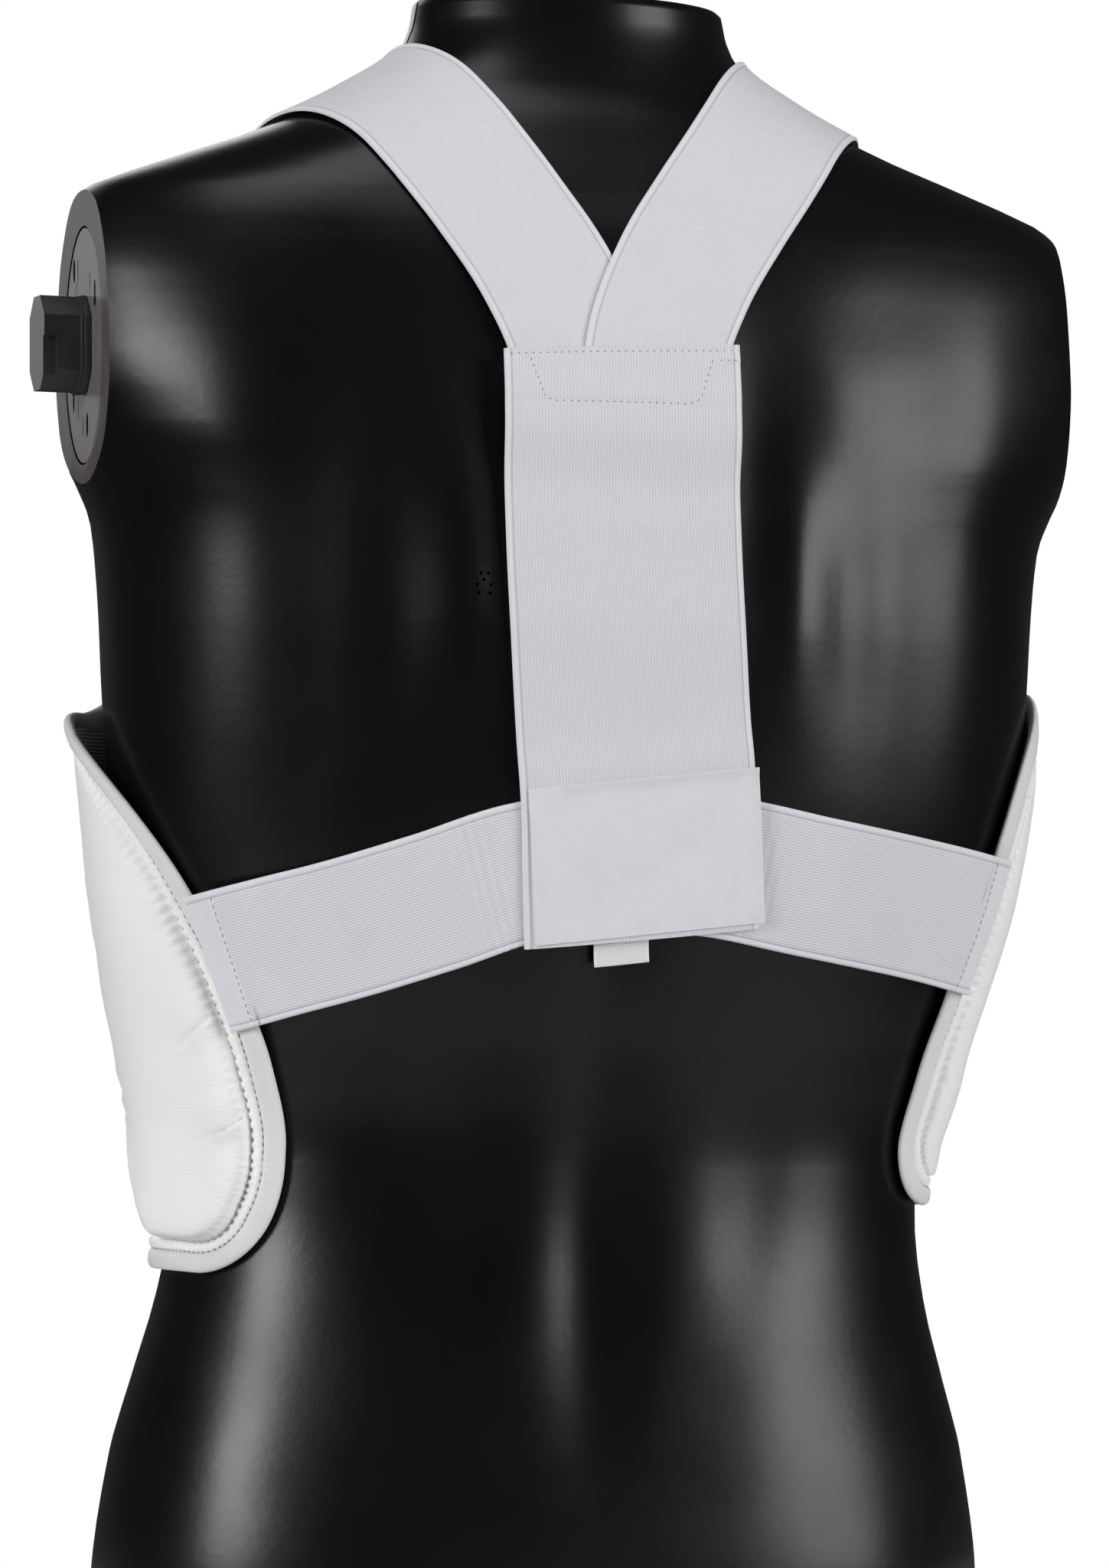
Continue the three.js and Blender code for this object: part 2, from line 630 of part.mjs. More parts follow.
// Lays a flat band along a line of points on the figure. Each row of the grid runs across the
// band, square to the line. lifts gives the band's inner face above the figure at each point.
function layBand(line, lifts, width, thick, acrossSteps) {
  const inner = [];
  const outer = [];
  line.forEach((p, i) => {
    const ahead = line[Math.min(i + 1, line.length - 1)];
    const along = ahead.clone().sub(line[Math.max(i - 1, 0)]).normalize();
    const out = gradient(figureLevel, p);
    const across = along.clone().cross(out).normalize();
    const [low, high] = [[], []];
    for (let k = 0; k <= acrossSteps; k++) {
      const offset = width * (k / acrossSteps - 0.5);
      const start = p.clone().addScaledVector(across, offset);
      const [far, near] = [OFF_FIGURE, INTO_FIGURE].map((d) => start.clone().addScaledVector(out, d));
      const hit = cast(far, near);
      const normal = gradient(figureLevel, hit);
      low.push(hit.clone().addScaledVector(normal, lifts[i]));
      high.push(hit.clone().addScaledVector(normal, lifts[i] + thick));
    }
    inner.push(low);
    outer.push(high);
  });
  return wallBetween(inner, outer);
}

// Values between the rows of a table, by a smooth curve through them.
function curveThrough(rows, columns, count) {
  const curve = new THREE.CatmullRomCurve3(
    rows.map((row) => new THREE.Vector3(...columns.map((column) => row[column]))),
    false,
    "centripetal",
  );
  return Array.from({ length: count + 1 }, (_, i) => curve.getPoint(i / count));
}

// Shoulder straps: from under the back panel, over the shoulder, down to the front's top corners.
// across: distance from the middle. turn: degrees round a level axis through the shoulders, from
// straight back over the top. lift: inner face above the figure.
const STRAP = [
  { across: 13, turn: -23, lift: 0 },
  { across: 16, turn: -13, lift: 0 },
  { across: 29, turn: 4, lift: 0 },
  { across: 48, turn: 24, lift: 0.1 },
  { across: 75, turn: 52, lift: 0.8 },
  { across: 98, turn: 82, lift: 1.4 },
  { across: 108, turn: 112, lift: 1.4 },
  { across: 109, turn: 142, lift: 0.6 },
  { across: 107, turn: 164, lift: 1 },
  { across: 105, turn: 178, lift: 5 },
  { across: 104, turn: 190, lift: 6 },
];
const STRAP_AXIS = { y: 0, z: 600 };
const STRAP_STEPS = 30;
const STRAP_REACH = 220; // further out from that axis than the figure goes
const PANEL_SHIFT = { by: 4, from: -20, to: 60 }; // the back panel's top end lies to the left
const CROSSING = { full: 8, gone: 34 }; // the turns between which the straps part

function shoulderStrap(side, layer) {
  const points = curveThrough(STRAP, ["across", "turn", "lift"], STRAP_STEPS);
  const line = points.map(({ x, y }) => {
    const angle = THREE.MathUtils.degToRad(y);
    const shift = PANEL_SHIFT.by * (1 - THREE.MathUtils.smoothstep(y, PANEL_SHIFT.from, PANEL_SHIFT.to));
    const across = side * x + shift;
    const direction = new THREE.Vector3(0, Math.cos(angle), Math.sin(angle));
    const pivot = new THREE.Vector3(across, STRAP_AXIS.y, STRAP_AXIS.z);
    return cast(pivot.clone().addScaledVector(direction, STRAP_REACH), pivot);
  });
  // Near the back panel the straps lie one on the other.
  const lifts = points.map(({ y, z }) => {
    const crossing = 1 - THREE.MathUtils.smoothstep(y, CROSSING.full, CROSSING.gone);
    return SKIN_GAP + z + layer * (ELASTIC_WALL + SEAM_GAP) * crossing;
  });
  return layBand(line, lifts, NARROW_ELASTIC, ELASTIC_WALL, 4);
}

// Side bands: one elastic line round the back, in two lengths that meet behind the panel.
// behind: girth units from the centre back, to the left. lift: above the skin gap.
const WAIST = [
  { behind: 183, z: 317, lift: 6.2 },
  { behind: 170, z: 320, lift: 6.2 },
  { behind: 150, z: 324.5, lift: 2.4 },
  { behind: 121, z: 331.5, lift: 0 },
  { behind: 80, z: 344, lift: 0 },
  { behind: 42, z: 357, lift: 0 },
  { behind: 0, z: 363, lift: 0 },
  { behind: -40, z: 362, lift: 0 },
  { behind: -90, z: 354, lift: 0 },
  { behind: -140, z: 346.5, lift: 0 },
  { behind: -162, z: 343.5, lift: 2.4 },
  { behind: -180, z: 341, lift: 6.2 },
  { behind: -192, z: 339.5, lift: 6.2 },
];
const WAIST_STEPS = 48;
const WAIST_MEETING = { left: 1, right: -1 };

function sideBand(side) {
  const points = curveThrough(WAIST, ["behind", "z", "lift"], WAIST_STEPS).filter(({ x }) =>
    side > 0 ? x > WAIST_MEETING.left : x < WAIST_MEETING.right,
  );
  const line = points.map(({ x, y }) => figurePoint(2 * QUARTER - x, y));
  const lifts = points.map(({ z }) => SKIN_GAP + Math.max(z, 0));
  return layBand(line, lifts, NARROW_ELASTIC, ELASTIC_WALL, 4);
}

// Back panel: a wide elastic that hangs from the crossed straps and lies over the side bands.
const OVER_STRAPS = 2 * (ELASTIC_WALL + SEAM_GAP) + 0.5;
const OVER_BANDS = ELASTIC_WALL + SEAM_GAP;
const PANEL = [
  { x: 3.2, z: 577, lift: OVER_STRAPS },
  { x: 3.8, z: 542, lift: OVER_STRAPS },
  { x: 4, z: 520, lift: 0.4 },
  { x: 3.4, z: 495, lift: 0 },
  { x: 1.2, z: 455, lift: 0 },
  { x: -2, z: 418, lift: 0.4 },
  { x: -4, z: 401, lift: OVER_BANDS + 0.2 },
  { x: -6, z: 384, lift: OVER_BANDS + 0.1 },
  { x: -8.2, z: 360, lift: OVER_BANDS },
  { x: -11.4, z: 331, lift: OVER_BANDS },
];
const PANEL_STEPS = 20;

const BEHIND = 250; // further back than the figure goes

// The figure's back at a place across it, which never dips along the spine.
function backPoint(x, z) {
  return cast(new THREE.Vector3(x, BEHIND, z), new THREE.Vector3(x, 0, z));
}

function backPanel() {
  const points = curveThrough(PANEL, ["x", "z", "lift"], PANEL_STEPS);
  const line = points.map(({ x, y }) => backPoint(x, y));
  const lifts = points.map(({ z }) => SKIN_GAP + Math.max(z, 0));
  return layBand(line, lifts, WIDE_ELASTIC, ELASTIC_WALL, 6);
}

// A small flat piece on the back: its middle, size, turn in degrees, and height above the figure.
function backPatch({ x, z, wide, high, turn, wall }, lift, rows, columns) {
  const [inner, outer] = [[], []];
  const angle = THREE.MathUtils.degToRad(turn);
  for (let i = 0; i <= rows; i++) {
    const up = high * (i / rows - 0.5);
    const [low, face] = [[], []];
    for (let k = 0; k <= columns; k++) {
      const across = wide * (k / columns - 0.5);
      const hit = backPoint(
        x + across * Math.cos(angle) + up * Math.sin(angle),
        z - across * Math.sin(angle) + up * Math.cos(angle),
      );
      const normal = gradient(figureLevel, hit);
      low.push(hit.clone().addScaledVector(normal, lift));
      face.push(hit.clone().addScaledVector(normal, lift + wall));
    }
    inner.push(low);
    outer.push(face);
  }
  return wallBetween(inner, outer);
}

// Closure patch: the smooth back of a hook tape, stuck over the panel's lower end.
const PATCH = { x: -10.5, z: 366, wide: 98, high: 65, turn: 7, wall: 1.8 };
// Size label: a small folded tape, blank, hanging from under the panel's lower end.
const LABEL = { x: -3.2, z: 324.6, wide: 23.5, high: 9.6, turn: 7, wall: 1.2 };
const LABEL_LIFT = 1.6;

function closurePatch() {
  return backPatch(PATCH, SKIN_GAP + OVER_BANDS + ELASTIC_WALL + 2 * SEAM_GAP, 6, 8);
}

function sizeLabel() {
  return backPatch(LABEL, LABEL_LIFT, 2, 4);
}

// ---- assembly ------------------------------------------------------------------------------
const FINISH = {
  form: { color: 0x161514, roughness: 0.32, metalness: 0 },
  joint: { color: 0x6d6866, roughness: 0.5, metalness: 0.2 },
  cover: { color: 0xeceae8, roughness: 0.7, metalness: 0 },
  lining: { color: 0x4a4848, roughness: 0.9, metalness: 0 },
  elastic: { color: 0xd2d2d8, roughness: 0.85, metalness: 0 },
  patch: { color: 0xe2e2e8, roughness: 0.8, metalness: 0 },
};

const protector = new THREE.Group();

function add(name, geometry, finish) {
  const mesh = new THREE.Mesh(geometry, new THREE.MeshStandardMaterial(FINISH[finish]));
  mesh.name = name;
  protector.add(mesh);
}

add("display_form", displayForm(), "form");
add("arm_plate_left", armPlate(1), "joint");
add("arm_plate_right", armPlate(-1), "joint");
add("arm_lug_left", armLug(1), "joint");
add("front_pad", frontPad(), "cover");
add("mesh_lining", meshLining(), "lining");
add("edge_binding", edgeBinding(), "cover");
add("shoulder_strap_left", shoulderStrap(1, 0), "elastic");
add("shoulder_strap_right", shoulderStrap(-1, 1), "elastic");
add("back_panel", backPanel(), "elastic");
add("side_band_left", sideBand(1), "elastic");
add("side_band_right", sideBand(-1), "elastic");
add("closure_patch", closurePatch(), "patch");
add("size_label", sizeLabel(), "patch");

export default protector;
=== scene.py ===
import math

import bpy
import numpy as np
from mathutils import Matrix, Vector
from mathutils.bvhtree import BVHTree


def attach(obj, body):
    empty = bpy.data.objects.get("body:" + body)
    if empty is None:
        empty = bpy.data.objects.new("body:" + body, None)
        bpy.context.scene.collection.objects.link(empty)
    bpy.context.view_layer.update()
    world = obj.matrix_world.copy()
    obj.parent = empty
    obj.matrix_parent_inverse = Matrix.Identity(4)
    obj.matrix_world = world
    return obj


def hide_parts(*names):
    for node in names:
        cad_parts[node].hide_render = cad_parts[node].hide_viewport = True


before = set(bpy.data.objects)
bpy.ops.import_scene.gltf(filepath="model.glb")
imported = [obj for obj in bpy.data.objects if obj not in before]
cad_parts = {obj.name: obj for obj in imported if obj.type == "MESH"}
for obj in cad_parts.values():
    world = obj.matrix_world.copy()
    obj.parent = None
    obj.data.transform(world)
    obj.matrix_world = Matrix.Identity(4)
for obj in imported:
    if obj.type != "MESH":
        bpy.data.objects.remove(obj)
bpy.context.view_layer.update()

# ---- display torso -----------------------------------------------------------------------
# A hollow plastic torso on which the protector is shown, moulded in two halves that meet in a
# fine line down each side and finished in satin black. The neck and the shoulders are cut flat,
# with an oval pocket let into each shoulder.
MM = 0.001
FORM_HEIGHT = 731.0
ARM_FACE = 213.0  # distance of the flat shoulder faces from the middle
ARM_MIDDLE = (8.0, 575.0)  # their middle, back from the spine's plane and up
ARM_TURN = math.radians(4)  # by which they face a little backwards
SWAY = 14.5  # how far the trunk leans to its right side
TIP = math.radians(1.6)  # and by how much that lifts its left one
# Level sections of the figure in millimetres: height, half width, depth behind, depth in front,
# squareness, and how far back the middle lies.
FIGURE = np.array([
    (0, 195, 112, 99, 2.35, 0),
    (55, 193, 115, 99, 2.35, 0),
    (107, 186, 108, 99, 2.3, 0),
    (140, 177, 100, 98, 2.3, 0),
    (174, 168, 92, 97, 2.25, 0),
    (208, 163, 87, 96, 2.2, 0),
    (240, 162, 86, 97, 2.2, 0),
    (275, 169, 89, 100, 2.25, 0),
    (310, 180, 96, 105, 2.25, 0),
    (350, 191, 104, 112, 2.3, 0),
    (390, 198, 111, 118, 2.3, 0),
    (430, 202, 116, 122, 2.3, 0),
    (470, 204, 119, 121, 2.3, 0),
    (500, 207, 119, 117, 2.3, 0),
    (518, 214, 118, 113, 2.3, 0),
    (540, 226, 116, 108, 2.3, 0),
    (575, 236, 109, 98, 2.3, 0),
    (605, 235, 99, 85, 2.3, 0),
    (628, 226, 88, 72, 2.3, 1),
    (642, 212, 80, 63, 2.3, 2),
    (655, 180, 73, 54, 2.3, 3),
    (673, 132, 64, 46, 2.25, 4),
    (690, 99, 58, 46, 2.15, 2),
    (706, 76, 55, 49, 2.1, 0),
    (718, 70, 53, 50, 2, -1),
    (731, 67.5, 52, 50, 2, -2),
])
rises = np.diff(FIGURE[:, 1:], axis=0) / np.diff(FIGURE[:, :1], axis=0)
same_way = rises[:-1] * rises[1:] > 0
mean_rise = 2 * rises[:-1] * rises[1:] / np.where(same_way, rises[:-1] + rises[1:], 1)
figure_slopes = np.vstack([rises[:1], np.where(same_way, mean_rise, 0), rises[-1:]])


def smoothstep(value, low, high):
    t = np.clip((value - low) / (high - low), 0, 1)
    return t * t * (3 - 2 * t)


def figure_at(height):
    """Half width, back depth, front depth, squareness and middle of the figure at some heights."""
    height = np.clip(height, 0, FORM_HEIGHT)
    row = np.clip(np.searchsorted(FIGURE[:, 0], height) - 1, 0, len(FIGURE) - 2)
    span = (FIGURE[row + 1, 0] - FIGURE[row, 0])[..., None]
    t = (height - FIGURE[row, 0])[..., None] / span
    value = (
        (2 * t**3 - 3 * t**2 + 1) * FIGURE[row, 1:]
        + (t**3 - 2 * t**2 + t) * span * figure_slopes[row]
        + (3 * t**2 - 2 * t**3) * FIGURE[row + 1, 1:]
        + (t**3 - t**2) * span * figure_slopes[row + 1]
    )
    return np.moveaxis(value, -1, 0)


def girth_point(place, height):
    """A point of the figure, place being girth units: 0 centre front, 250 side, 500 centre back."""
    place, height = np.broadcast_arrays(np.asarray(place, float), np.asarray(height, float))
    shape = place.shape
    place, height = place.ravel(), height.ravel()
    turned = (place + 500) % 1000 - 500
    reach = np.abs(turned)
    half, back, front, square, middle = figure_at(height)
    behind = reach > 250
    depth = np.where(behind, back, front)
    angle = np.linspace(0, math.pi / 2, 41)
    power = (2 / square)[:, None]
    across = half[:, None] * np.cos(angle) ** power
    deep = depth[:, None] * np.sin(angle) ** power
    lengths = np.hypot(np.diff(across), np.diff(deep))
    along = np.hstack([np.zeros((len(place), 1)), np.cumsum(lengths, axis=1)])
    wanted = along[:, -1] * np.abs(reach - 250) / 250
    i = 1 + (along[:, 1:-1] < wanted[:, None]).sum(axis=1)
    row = np.arange(len(place))
    t = (wanted - along[row, i - 1]) / (along[row, i] - along[row, i - 1])
    x = across[row, i - 1] * (1 - t) + across[row, i] * t
    y = deep[row, i - 1] * (1 - t) + deep[row, i] * t
    x = np.where(turned < 0, -x, x)
    y = middle + np.where(behind, y, -y)
    return np.stack([x, y, height], axis=-1).reshape(shape + (3,))


def unit(v):
    return v / np.linalg.norm(v, axis=-1, keepdims=True)


def on_figure(place, height, lift):
    """A point lifted off the figure, square to its surface."""
    place, height = np.broadcast_arrays(np.asarray(place, float), np.asarray(height, float))
    step = 3
    round_it = girth_point(place + step, height) - girth_point(place - step, height)
    top = np.minimum(height + step, FORM_HEIGHT)
    up = girth_point(place, top) - girth_point(place, height - step)
    out = unit(np.cross(round_it, up))
    return girth_point(place, height) + out * np.asarray(lift)[..., None]


def lean(p):
    """The base stays level; the trunk sways to its right side and lifts its left one."""
    sway = SWAY * smoothstep(p[..., 2], 40, 460)
    tip = math.tan(TIP) * smoothstep(p[..., 2], 0, 250)
    return np.stack([p[..., 0] - sway, p[..., 1], p[..., 2] + tip * p[..., 0]], axis=-1)


def places_of(piece):
    flat = np.empty(len(piece.data.vertices) * 3)
    piece.data.vertices.foreach_get("co", flat)
    return flat.reshape(-1, 3)


def put(piece, points):
    """Sets the piece's vertices, given in millimetres."""
    piece.data.vertices.foreach_set("co", (points * MM).ravel())
    piece.data.update()


def only(piece):
    """Makes this the one selected piece."""
    bpy.ops.object.select_all(action="DESELECT")
    piece.select_set(True)
    bpy.context.view_layer.objects.active = piece


def pick(piece, kind, wanted):
    """Leaves the piece in edit mode with just the wanted edges or faces picked."""
    bpy.ops.object.mode_set(mode="EDIT")
    bpy.ops.mesh.select_mode(type=kind)
    bpy.ops.mesh.select_all(action="DESELECT")
    bpy.ops.object.mode_set(mode="OBJECT")
    for part in piece.data.edges if kind == "EDGE" else piece.data.polygons:
        part.select = wanted(part)
    bpy.ops.object.mode_set(mode="EDIT")


def named(piece, name):
    piece.name = name
    piece.data.name = name
    return piece


def at_joint(points, way):
    """Turns points, in millimetres, about the upright line through the middle of an arm face."""
    across, back = points[:, 0] - way * ARM_FACE, points[:, 1] - ARM_MIDDLE[0]
    turn = way * ARM_TURN
    return np.stack([
        way * ARM_FACE + across * math.cos(turn) - back * math.sin(turn),
        ARM_MIDDLE[0] + across * math.sin(turn) + back * math.cos(turn),
        points[:, 2],
    ], axis=-1)


# Soft relief of the back and flanks, millimetres inwards: across from the spine on either side,
# height, half width, half height, depth.
RELIEF = np.array([
    (0, 400, 17, 150, 5),  # along the spine
    (0, 190, 20, 70, 5),  # small of the back
    (58, 545, 26, 70, 3.5),  # inside the shoulder blades
    (128, 455, 22, 95, 3.0),  # below and outside them
    (112, 590, 30, 26, 2.0),
    (70, 225, 20, 70, 2.5),
    (150, 320, 20, 60, 1.5),
    (71, 482, 12, 56, -3.2),  # the muscle on either side of the spine
    (99, 472, 13, 64, 3.4),
    (75, 150, 26, 46, -2.0),
    (95, 520, 18, 60, -1.5),
    (165, 545, 22, 60, -1.5),
])

ring_heights = np.concatenate([
    np.arange(0, 500, 6.0), np.arange(500, 700, 3.0), np.arange(700, 727, 3.0), [727, 729.2, 730.5, 731]
])
SEAM_COLUMNS = np.array([-3.2, -1.3, -0.55, 0, 0.55, 1.3, 3.2])
SEAM_BASE = 235.0
plain_columns = np.arange(-500, 500, 1000 / 196)
clear = np.abs(np.abs(plain_columns) - SEAM_BASE) > 3.6
columns = np.sort(np.concatenate([
    plain_columns[clear], SEAM_BASE + SEAM_COLUMNS, -SEAM_BASE + SEAM_COLUMNS
]))

bpy.ops.object.select_all(action="DESELECT")
bpy.ops.mesh.primitive_cylinder_add(
    vertices=len(columns), radius=1, depth=1, end_fill_type="NGON", location=(0, 0, 0.5)
)
torso = named(bpy.context.object, "torso")
bpy.ops.object.transform_apply(location=True, rotation=True, scale=True)


def edge_reach(piece, edge):
    """How far apart an edge's ends lie across, back and up."""
    a, b = [piece.data.vertices[i].co for i in edge.vertices]
    return [abs(v) for v in b - a]


pick(torso, "EDGE", lambda edge: edge_reach(torso, edge)[2] > 0.5)
bpy.ops.mesh.subdivide(number_cuts=len(ring_heights) - 2)
bpy.ops.mesh.select_mode(type="VERT")
bpy.ops.object.mode_set(mode="OBJECT")

spots = places_of(torso)
turn = np.arctan2(spots[:, 0], -spots[:, 1]) / (2 * math.pi)
column = np.rint(turn * len(columns)).astype(int) % len(columns)
ring = np.rint(spots[:, 2] * (len(ring_heights) - 1)).astype(int)
height = ring_heights[ring]
start = np.argmin(np.abs(columns))
place = columns[(column + start) % len(columns)]
side = np.sign(place)
from_seam = np.abs(place) - SEAM_BASE
SEAM_LINE = ([0, 174, 300, 500, 644, 700, 731], [206, 206, 220, 233, 236, 262, 266])
drift = np.interp(height, *SEAM_LINE) - SEAM_BASE
place = place + side * drift * (1 - smoothstep(np.abs(from_seam), 8, 90))
groove = np.interp(np.abs(from_seam), [0, 0.56, 1.31, 3.2], [-0.5, 0.25, 0.05, 0])
groove = groove * (np.abs(from_seam) < 3.2)
points = on_figure(place, height, groove)
behind = smoothstep(points[:, 1], -10, 50)
for across, up, wide, tall, deep in RELIEF:
    bump = np.exp(-(((np.abs(points[:, 0]) - across) / wide) ** 2) - ((points[:, 2] - up) / tall) ** 2)
    points[:, 1] -= deep * bump * behind
lip = np.interp(height, [729, 730.5, 731], [0, 0.6, 1.8])
points[:, :2] -= unit(points[:, :2]) * lip[:, None]
put(torso, points)

bpy.ops.object.mode_set(mode="EDIT")
for way in (1, -1):
    bpy.ops.mesh.select_all(action="SELECT")
    bpy.ops.mesh.bisect(
        plane_co=(way * ARM_FACE * MM, ARM_MIDDLE[0] * MM, 0),
        plane_no=(way * math.cos(ARM_TURN), math.sin(ARM_TURN), 0),
        use_fill=True,
        clear_outer=True,
    )
bpy.ops.object.mode_set(mode="OBJECT")


def cut_out(piece, cutters):
    """Takes the cutters out of the piece and deletes them."""
    for cutter in cutters:
        only(piece)
        bite = piece.modifiers.new("bite", "BOOLEAN")
        bite.operation = "DIFFERENCE"
        bite.solver = "EXACT"
        bite.object = cutter
        bpy.ops.object.modifier_apply(modifier=bite.name)
        bpy.data.objects.remove(cutter)


def rod(middle, depth, radii, sides, turn=(0, 0, 0)):
    """A round or oval rod to work from, in millimetres."""
    bpy.ops.object.select_all(action="DESELECT")
    bpy.ops.mesh.primitive_cylinder_add(
        vertices=sides, radius=1, depth=1, location=[v * MM for v in middle], rotation=turn
    )
    made = bpy.context.object
    made.scale = (radii[0] * MM, radii[1] * MM, depth * MM)
    bpy.ops.object.transform_apply(location=True, rotation=True, scale=True)
    return made


UPRIGHT_OVAL = (0, math.pi / 2, 0)
pockets = []
for way in (1, -1):
    pocket = rod((way * (ARM_FACE - 0.9), *ARM_MIDDLE), 6, (50.7, 36.2), 96, UPRIGHT_OVAL)
    put(pocket, at_joint(places_of(pocket) / MM, way))
    pockets.append(pocket)
# A rose of small vent holes beside the left shoulder blade.
VENTS = [(62.5, 477.5), (65.5, 475.5), (59.5, 475.5), (64.8, 472), (60, 472), (63.8, 480.3), (60.6, 480.3)]
vents = [rod((x, 112, z), 14, (0.75, 0.75), 10, (math.pi / 2, 0, 0)) for x, z in VENTS]
only(vents[0])
for vent in vents:
    vent.select_set(True)
bpy.ops.object.join()
cut_out(torso, [*pockets, vents[0]])
put(torso, lean(places_of(torso) / MM))
only(torso)
bpy.ops.object.shade_smooth_by_angle(angle=math.radians(38))


class Finish:
    """Wires up one procedural finish, node after node."""

    def __init__(self, name, roughness, **sockets):
        self.material = bpy.data.materials.new(name)
        self.material.use_nodes = True
        self.tree = self.material.node_tree
        self.shader = self.tree.nodes["Principled BSDF"]
        self.shader.inputs["Roughness"].default_value = roughness
        for socket, value in sockets.items():
            self.shader.inputs[socket.replace("_", " ")].default_value = value

    def node(self, kind, **settings):
        made = self.tree.nodes.new(kind)
        for setting, value in settings.items():
            setattr(made, setting, value)
        return made

    def feed(self, socket, value):
        if isinstance(value, bpy.types.NodeSocket):
            self.tree.links.new(value, socket)
        else:
            socket.default_value = value

    def sum(self, operation, *values):
        made = self.node("ShaderNodeMath", operation=operation)
        for socket, value in zip(made.inputs, values):
            self.feed(socket, value)
        return made.outputs[0]

    def wave(self, value, pitch, shift=0.0):
        """A sine of the value, from 0 to 1, once every pitch."""
        turned = self.sum("MULTIPLY_ADD", value, 2 * math.pi / pitch, shift)
        return self.sum("MULTIPLY_ADD", self.sum("SINE", turned), 0.5, 0.5)

    def within(self, value, low, high, start=0.0, end=1.0):
        made = self.node("ShaderNodeMapRange", interpolation_type="SMOOTHSTEP")
        for socket, v in zip(made.inputs, (value, low, high, start, end)):
            self.feed(socket, v)
        return made.outputs[0]

    def noise(self, vector, scale, detail=2.0, rough=0.5):
        made = self.node("ShaderNodeTexNoise")
        self.feed(made.inputs["Vector"], vector)
        self.feed(made.inputs["Scale"], scale)
        self.feed(made.inputs["Detail"], detail)
        self.feed(made.inputs["Roughness"], rough)
        return made.outputs["Fac"]

    def on_piece(self):
        return self.node("ShaderNodeTexCoord").outputs["Object"]

    def on_cloth(self):
        """Places on the flat cut, in metres: across and along."""
        coordinates = self.node("ShaderNodeUVMap", uv_map="UVMap").outputs[0]
        apart = self.node("ShaderNodeSeparateXYZ")
        self.feed(apart.inputs[0], coordinates)
        return coordinates, apart.outputs[0], apart.outputs[1]

    def colour(self, factor, low, high):
        made = self.node("ShaderNodeMix", data_type="RGBA")
        self.feed(made.inputs["Factor"], factor)
        self.feed(made.inputs["A"], (*low, 1))
        self.feed(made.inputs["B"], (*high, 1))
        self.tree.links.new(made.outputs["Result"], self.shader.inputs["Base Color"])

    def relief(self, height, depth):
        made = self.node("ShaderNodeBump")
        self.feed(made.inputs["Height"], height)
        made.inputs["Distance"].default_value = depth
        self.tree.links.new(made.outputs[0], self.shader.inputs["Normal"])


lacquer = Finish("black_lacquer", 0.3, IOR=1.5, Specular_IOR_Level=0.34)
where = lacquer.on_piece()
lacquer.colour(lacquer.noise(where, 9.0, 3.0), (0.0014, 0.0012, 0.0012), (0.0028, 0.0025, 0.0025))
rub = lacquer.within(lacquer.noise(where, 14.0, 4.0), 0.3, 0.7, 0.27, 0.33)
lacquer.tree.links.new(rub, lacquer.shader.inputs["Roughness"])
lacquer.relief(lacquer.noise(where, 260.0, 2.0), 0.00004)


def plain_finish(name, roughness, tones, patches, grain=None, depth=0.0, flat=False, **sockets):
    """A material whose colour wanders between two tones, over a fine grain. patches and grain are
    the scale and the detail of their noise; flat lays both on the flat cut."""
    made = Finish(name, roughness, **sockets)
    where = made.on_cloth()[0] if flat else made.on_piece()
    made.colour(made.noise(where, *patches), *tones)
    if grain is not None:
        made.relief(made.noise(where, *grain), depth)
    return made.material


tones = ((0.066, 0.058, 0.057), (0.085, 0.076, 0.074))
cut_face = plain_finish("cut_face", 0.5, tones, (40.0, 4.0), (700.0, 2.0), 0.00008)

torso.data.materials.clear()
torso.data.materials.append(lacquer.material)
torso.data.materials.append(cut_face)
for face in torso.data.polygons:
    way = 1 if face.center.x > 0 else -1
    out = Vector((way * math.cos(ARM_TURN), math.sin(ARM_TURN), 0))
    middle = Vector((way * ARM_FACE - SWAY, ARM_MIDDLE[0], 0)) * MM
    flat = face.normal.dot(out) > 0.9995 and abs((face.center - middle).dot(out)) < 0.0003
    face.material_index = 1 if flat else 0
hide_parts("display_form")
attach(torso, "root")

# ---- shoulder fittings ----------------------------------------------------------------------
# Each shoulder takes a loose arm: an oval plate of dull grey metal with keyed slots lies in the
# pocket. Only the left one still holds its lug, an eight-sided stub of dark plastic with a flange
# and a notched end.
tones = ((0.12, 0.108, 0.106), (0.145, 0.132, 0.13))
plate_grey = plain_finish("plate_grey", 0.45, tones, (60.0, 4.0), (900.0, 2.0), 0.00006)
# The slot walls are coloured near black: painted shade inside the slots, on the same grey metal.
tones = ((0.004, 0.004, 0.004), (0.008, 0.008, 0.008))
slot_wall_painted_shade = plain_finish("slot_wall_painted_shade", 0.8, tones, (60.0, 2.0))
tones = ((0.011, 0.011, 0.011), (0.018, 0.018, 0.018))
lug_grey = plain_finish("lug_grey", 0.5, tones, (70.0, 4.0), (900.0, 2.0), 0.00008)
tones = ((0.115, 0.11, 0.112), (0.14, 0.135, 0.137))
lug_end = plain_finish("lug_end", 0.5, tones, (70.0, 4.0), (900.0, 2.0), 0.00006)


def apply_modifiers(piece):
    only(piece)
    for modifier in list(piece.modifiers):
        bpy.ops.object.modifier_apply(modifier=modifier.name)


def round_edges(piece, wide, segments, angle=None):
    """Rounds the piece's sharp edges, those sharper than an angle in degrees if one is given."""
    edge = piece.modifiers.new("edge", "BEVEL")
    edge.width = wide * MM
    edge.segments = segments
    edge.limit_method = "ANGLE"
    if angle is not None:
        edge.angle_limit = math.radians(angle)
    apply_modifiers(piece)


